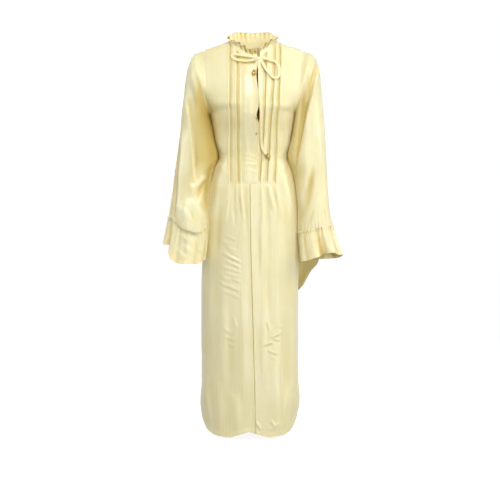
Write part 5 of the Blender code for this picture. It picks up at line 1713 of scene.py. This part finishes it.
# The ruffle stands up behind and rolls open at the sides and in front: in each upright section an arc,
# whose length and turn change round the neck, with almost even waves that grow towards the free rim
# and a few large lobes
def makeCollarRuffle():
    angle = collarAngles(collar["ruffleColumns"])[None, :]
    t = np.linspace(0, 1, collar["ruffleRows"])[:, None]
    behind = np.degrees(np.abs(angle - math.pi))
    start = math.asin(collar["slitX"] / bodySections[0][2])
    away = np.minimum(angle - start, start + 2 * math.pi - angle)
    ends = collar["endShare"] + (1 - collar["endShare"]) * climb(away, 0, collar["endAngle"])
    length, turn, tilt = (tableColumn(collar["roll"], k, behind) for k in (1, 2, 3))
    length = length * ends * (1 + 0.02 * np.sin(angle * 11 + 1))
    heading = tilt + turn * t
    rise = length * (np.sin(heading) - np.sin(tilt)) / turn + collar["ruffleLift"]
    lean = length * (np.cos(tilt) - np.cos(heading)) / turn
    waveSize, seamShare, reach = (
        value + added * climb(behind, first, span)
        for first, span, value, added in (collar["waveSize"], collar["seamShare"], collar["waveShade"]))
    phase = collar["gathers"] * (angle - collar["crowding"] * np.sin(angle))
    phase = phase + collar["uneven"] * np.sin(3 * angle)
    size = collar["wave"] * (1 + 0.35 * np.sin(angle * 7 + 2) + 0.25 * np.sin(angle * 13)) * waveSize
    wave = size * (seamShare + (1 - seamShare) * t ** 0.8)
    wave = wave * (np.cos(phase) + 0.28 * np.cos(2 * phase + 0.8))
    right = 180 - np.degrees(angle)
    wave = wave + t * sum(tall / 1000 * bell(right, place, half) for place, half, tall in collar["lobes"])
    height, place, half = collar["crimp"]
    wave = wave + height * np.sin(angle * 97 + 3 * np.sin(angle * 5)) * bell(t, place, half)
    lean = lean + wave * np.cos(heading)
    rise = rise - wave * np.sin(heading)
    foot = standTop(angle)
    outward = neckOutward(foot)
    outer = foot + rise[..., None] * np.array([0, 0, 1.0]) + outward * lean[..., None]
    side = np.stack([-outward[..., 1], outward[..., 0], np.zeros(angle.shape)], axis=-1)
    outer = outer + side * (collar["sway"] * t * np.sin(2 * phase + 0.4))[..., None]
    rimStart, plain, added = collar["rim"]
    thick = collar["thickness"] * (plain + added * (t > rimStart))
    # Painted shade in the hollows of the waves, on both sides
    made = clothWall("collar_ruffle_cloth", outer, thick, normal=gridNormal(outer),
                     depth=paintedFoldShade(wave, reach), innerPaintedShade=paintedFoldShade(-wave, reach))
    dress(made, satinTurned, ["collar_ruffle"])


knot = {
    "centre": (0.0185, -0.0960, -0.0610),
    "size": (0.0085, 0.0065, 0.0078),       # half width, half depth, half height
    "sides": 64,
    "rows": 34,
    "reach": 0.96,              # share of the way to its poles that the rows cover
    "girth": 0.7,               # power of the cosine: smaller is fuller
    "crease": 0.05,
    "wave": 0.0008,
    "wrap": (0.16, 0.35, 0.42),     # how much the turn of the tie swells, its slant and half width in radians
}


# Knot of the bow: a pressed ball wrapped by one turn of the tie, with creases that run into its ends
def makeKnot():
    wide, deep, tall = knot["size"]
    turn = np.linspace(0, 2 * np.pi, knot["sides"], endpoint=False)[None, :]
    lift = np.linspace(-knot["reach"], knot["reach"], knot["rows"])[:, None] * np.pi / 2
    swell, slant, width = knot["wrap"]
    girth = np.cos(lift) ** knot["girth"] * (1 + swell * bell(lift, slant * np.cos(turn), width))
    girth = girth * (1 + knot["crease"] * (np.sin(turn * 7 + 3 * lift) + np.sin(lift * 5 + turn)))
    z = tall * np.sin(lift) + knot["wave"] * np.sin(turn * 2 + 1)
    grid = np.stack([wide * girth * np.cos(turn), deep * girth * np.sin(turn), z], axis=-1)
    made = closedTube("tie_knot_satin", grid + np.array(knot["centre"]))
    dress(made, satinTurned, ["tie_knot"])


button = {
    "heights": {"button_upper": -0.272, "button_lower": -0.324},
    "x": 0.0140,
    "radius": 0.0036,
    "thickness": 0.0024,
    "sides": 32,
    "seat": 0.0002,
    "shade": 1.25,          # its whole satin drawn in the painted fold shade's colour at this depth
    # share of the thickness, share of the radius
    "shape": ((0.0, 0.80), (0.12, 0.95), (0.30, 1.0), (0.48, 1.0), (0.62, 0.94), (0.74, 0.84), (0.80, 0.74),
              (0.80, 0.62), (0.86, 0.50), (0.94, 0.34), (1.0, 0.14)),
}


# Small covered buttons, domed with a shallow ring, on the placket where its drawn edge carries them
def makeButtons():
    profile = [(along * button["thickness"], size * button["radius"]) for along, size in button["shape"]]
    for name, z in button["heights"].items():
        base = bodyPoint(np.array(button["x"]), np.array(z), -1)
        normal = bodyNormal(base, -1)
        own = button["x"]
        for _ in range(6):
            own = button["x"] + float(edgeDrawn(own, z))
        start = base + normal * (float(bandLift(own, z)) + float(slitLift(own, z)) + button["seat"])
        made = closedTube(name + "_satin", turnedGrid(start, normal, profile, button["sides"]))
        setPaintedShade(made, np.full(len(made.data.vertices), button["shade"]))
        dress(made, satinTurned, [name])


print("placket")
makePlacket()
print("cuffs")
makeCuff("left")
makeCuff("right")
print("wings")
makeWing("left")
makeWing("right")
print("collar")
makeStand()
makeCollarRuffle()
print("knot and buttons")
makeKnot()
makeButtons()


# Pale bowl turned about the vertical axis; it neither lights nor shades the cloth
def makeFloor():
    radius, height = np.array(studio["bowl"]).T
    run = np.linspace(0, len(radius) - 1, studio["bowlRows"])
    steps = np.arange(len(radius))
    profile = np.stack([smoothTable(steps, height, run), smoothTable(steps, radius, run)], -1)
    foot = np.array([0.0, 0.0, studio["floorHeight"]])
    grid = turnedGrid(foot, (0.0, 0.0, 1.0), profile, studio["bowlSides"])
    floor = closedTube("floor", grid[:, ::-1], sharp=80)
    for ray in ("visible_diffuse", "visible_transmission", "visible_shadow"):
        setattr(floor, ray, False)
    paint, _, shader = newMaterial("pale floor")
    setInputs(shader, {
        "Base Color": studio["floorColour"],
        "Roughness": studio["floorRoughness"],
        "Specular IOR Level": 0.0,
        "Emission Color": studio["glowColour"],
        "Emission Strength": studio["glow"],
    })
    floor.data.materials.append(paint)


def makeLights():
    for name, (place, target, size, power, colour) in lights.items():
        data = bpy.data.lights.new(name, "AREA")
        data.shape = "DISK"
        data.size = size
        data.energy = power
        data.color = colour
        lamp = bpy.data.objects.new(name, data)
        lamp.location = place
        lamp.rotation_euler = (Vector(target) - Vector(place)).to_track_quat("-Z", "Y").to_euler()
        bpy.context.collection.objects.link(lamp)
    world = bpy.data.worlds.new("studio")
    world.use_nodes = True
    background = world.node_tree.nodes["Background"]
    setInputs(background, {"Color": studio["worldColour"], "Strength": studio["worldStrength"]})
    bpy.context.scene.world = world
    bpy.context.scene.view_settings.view_transform = "Standard"
    bpy.context.scene.view_settings.exposure = studio["exposure"]


makeFloor()
makeLights()
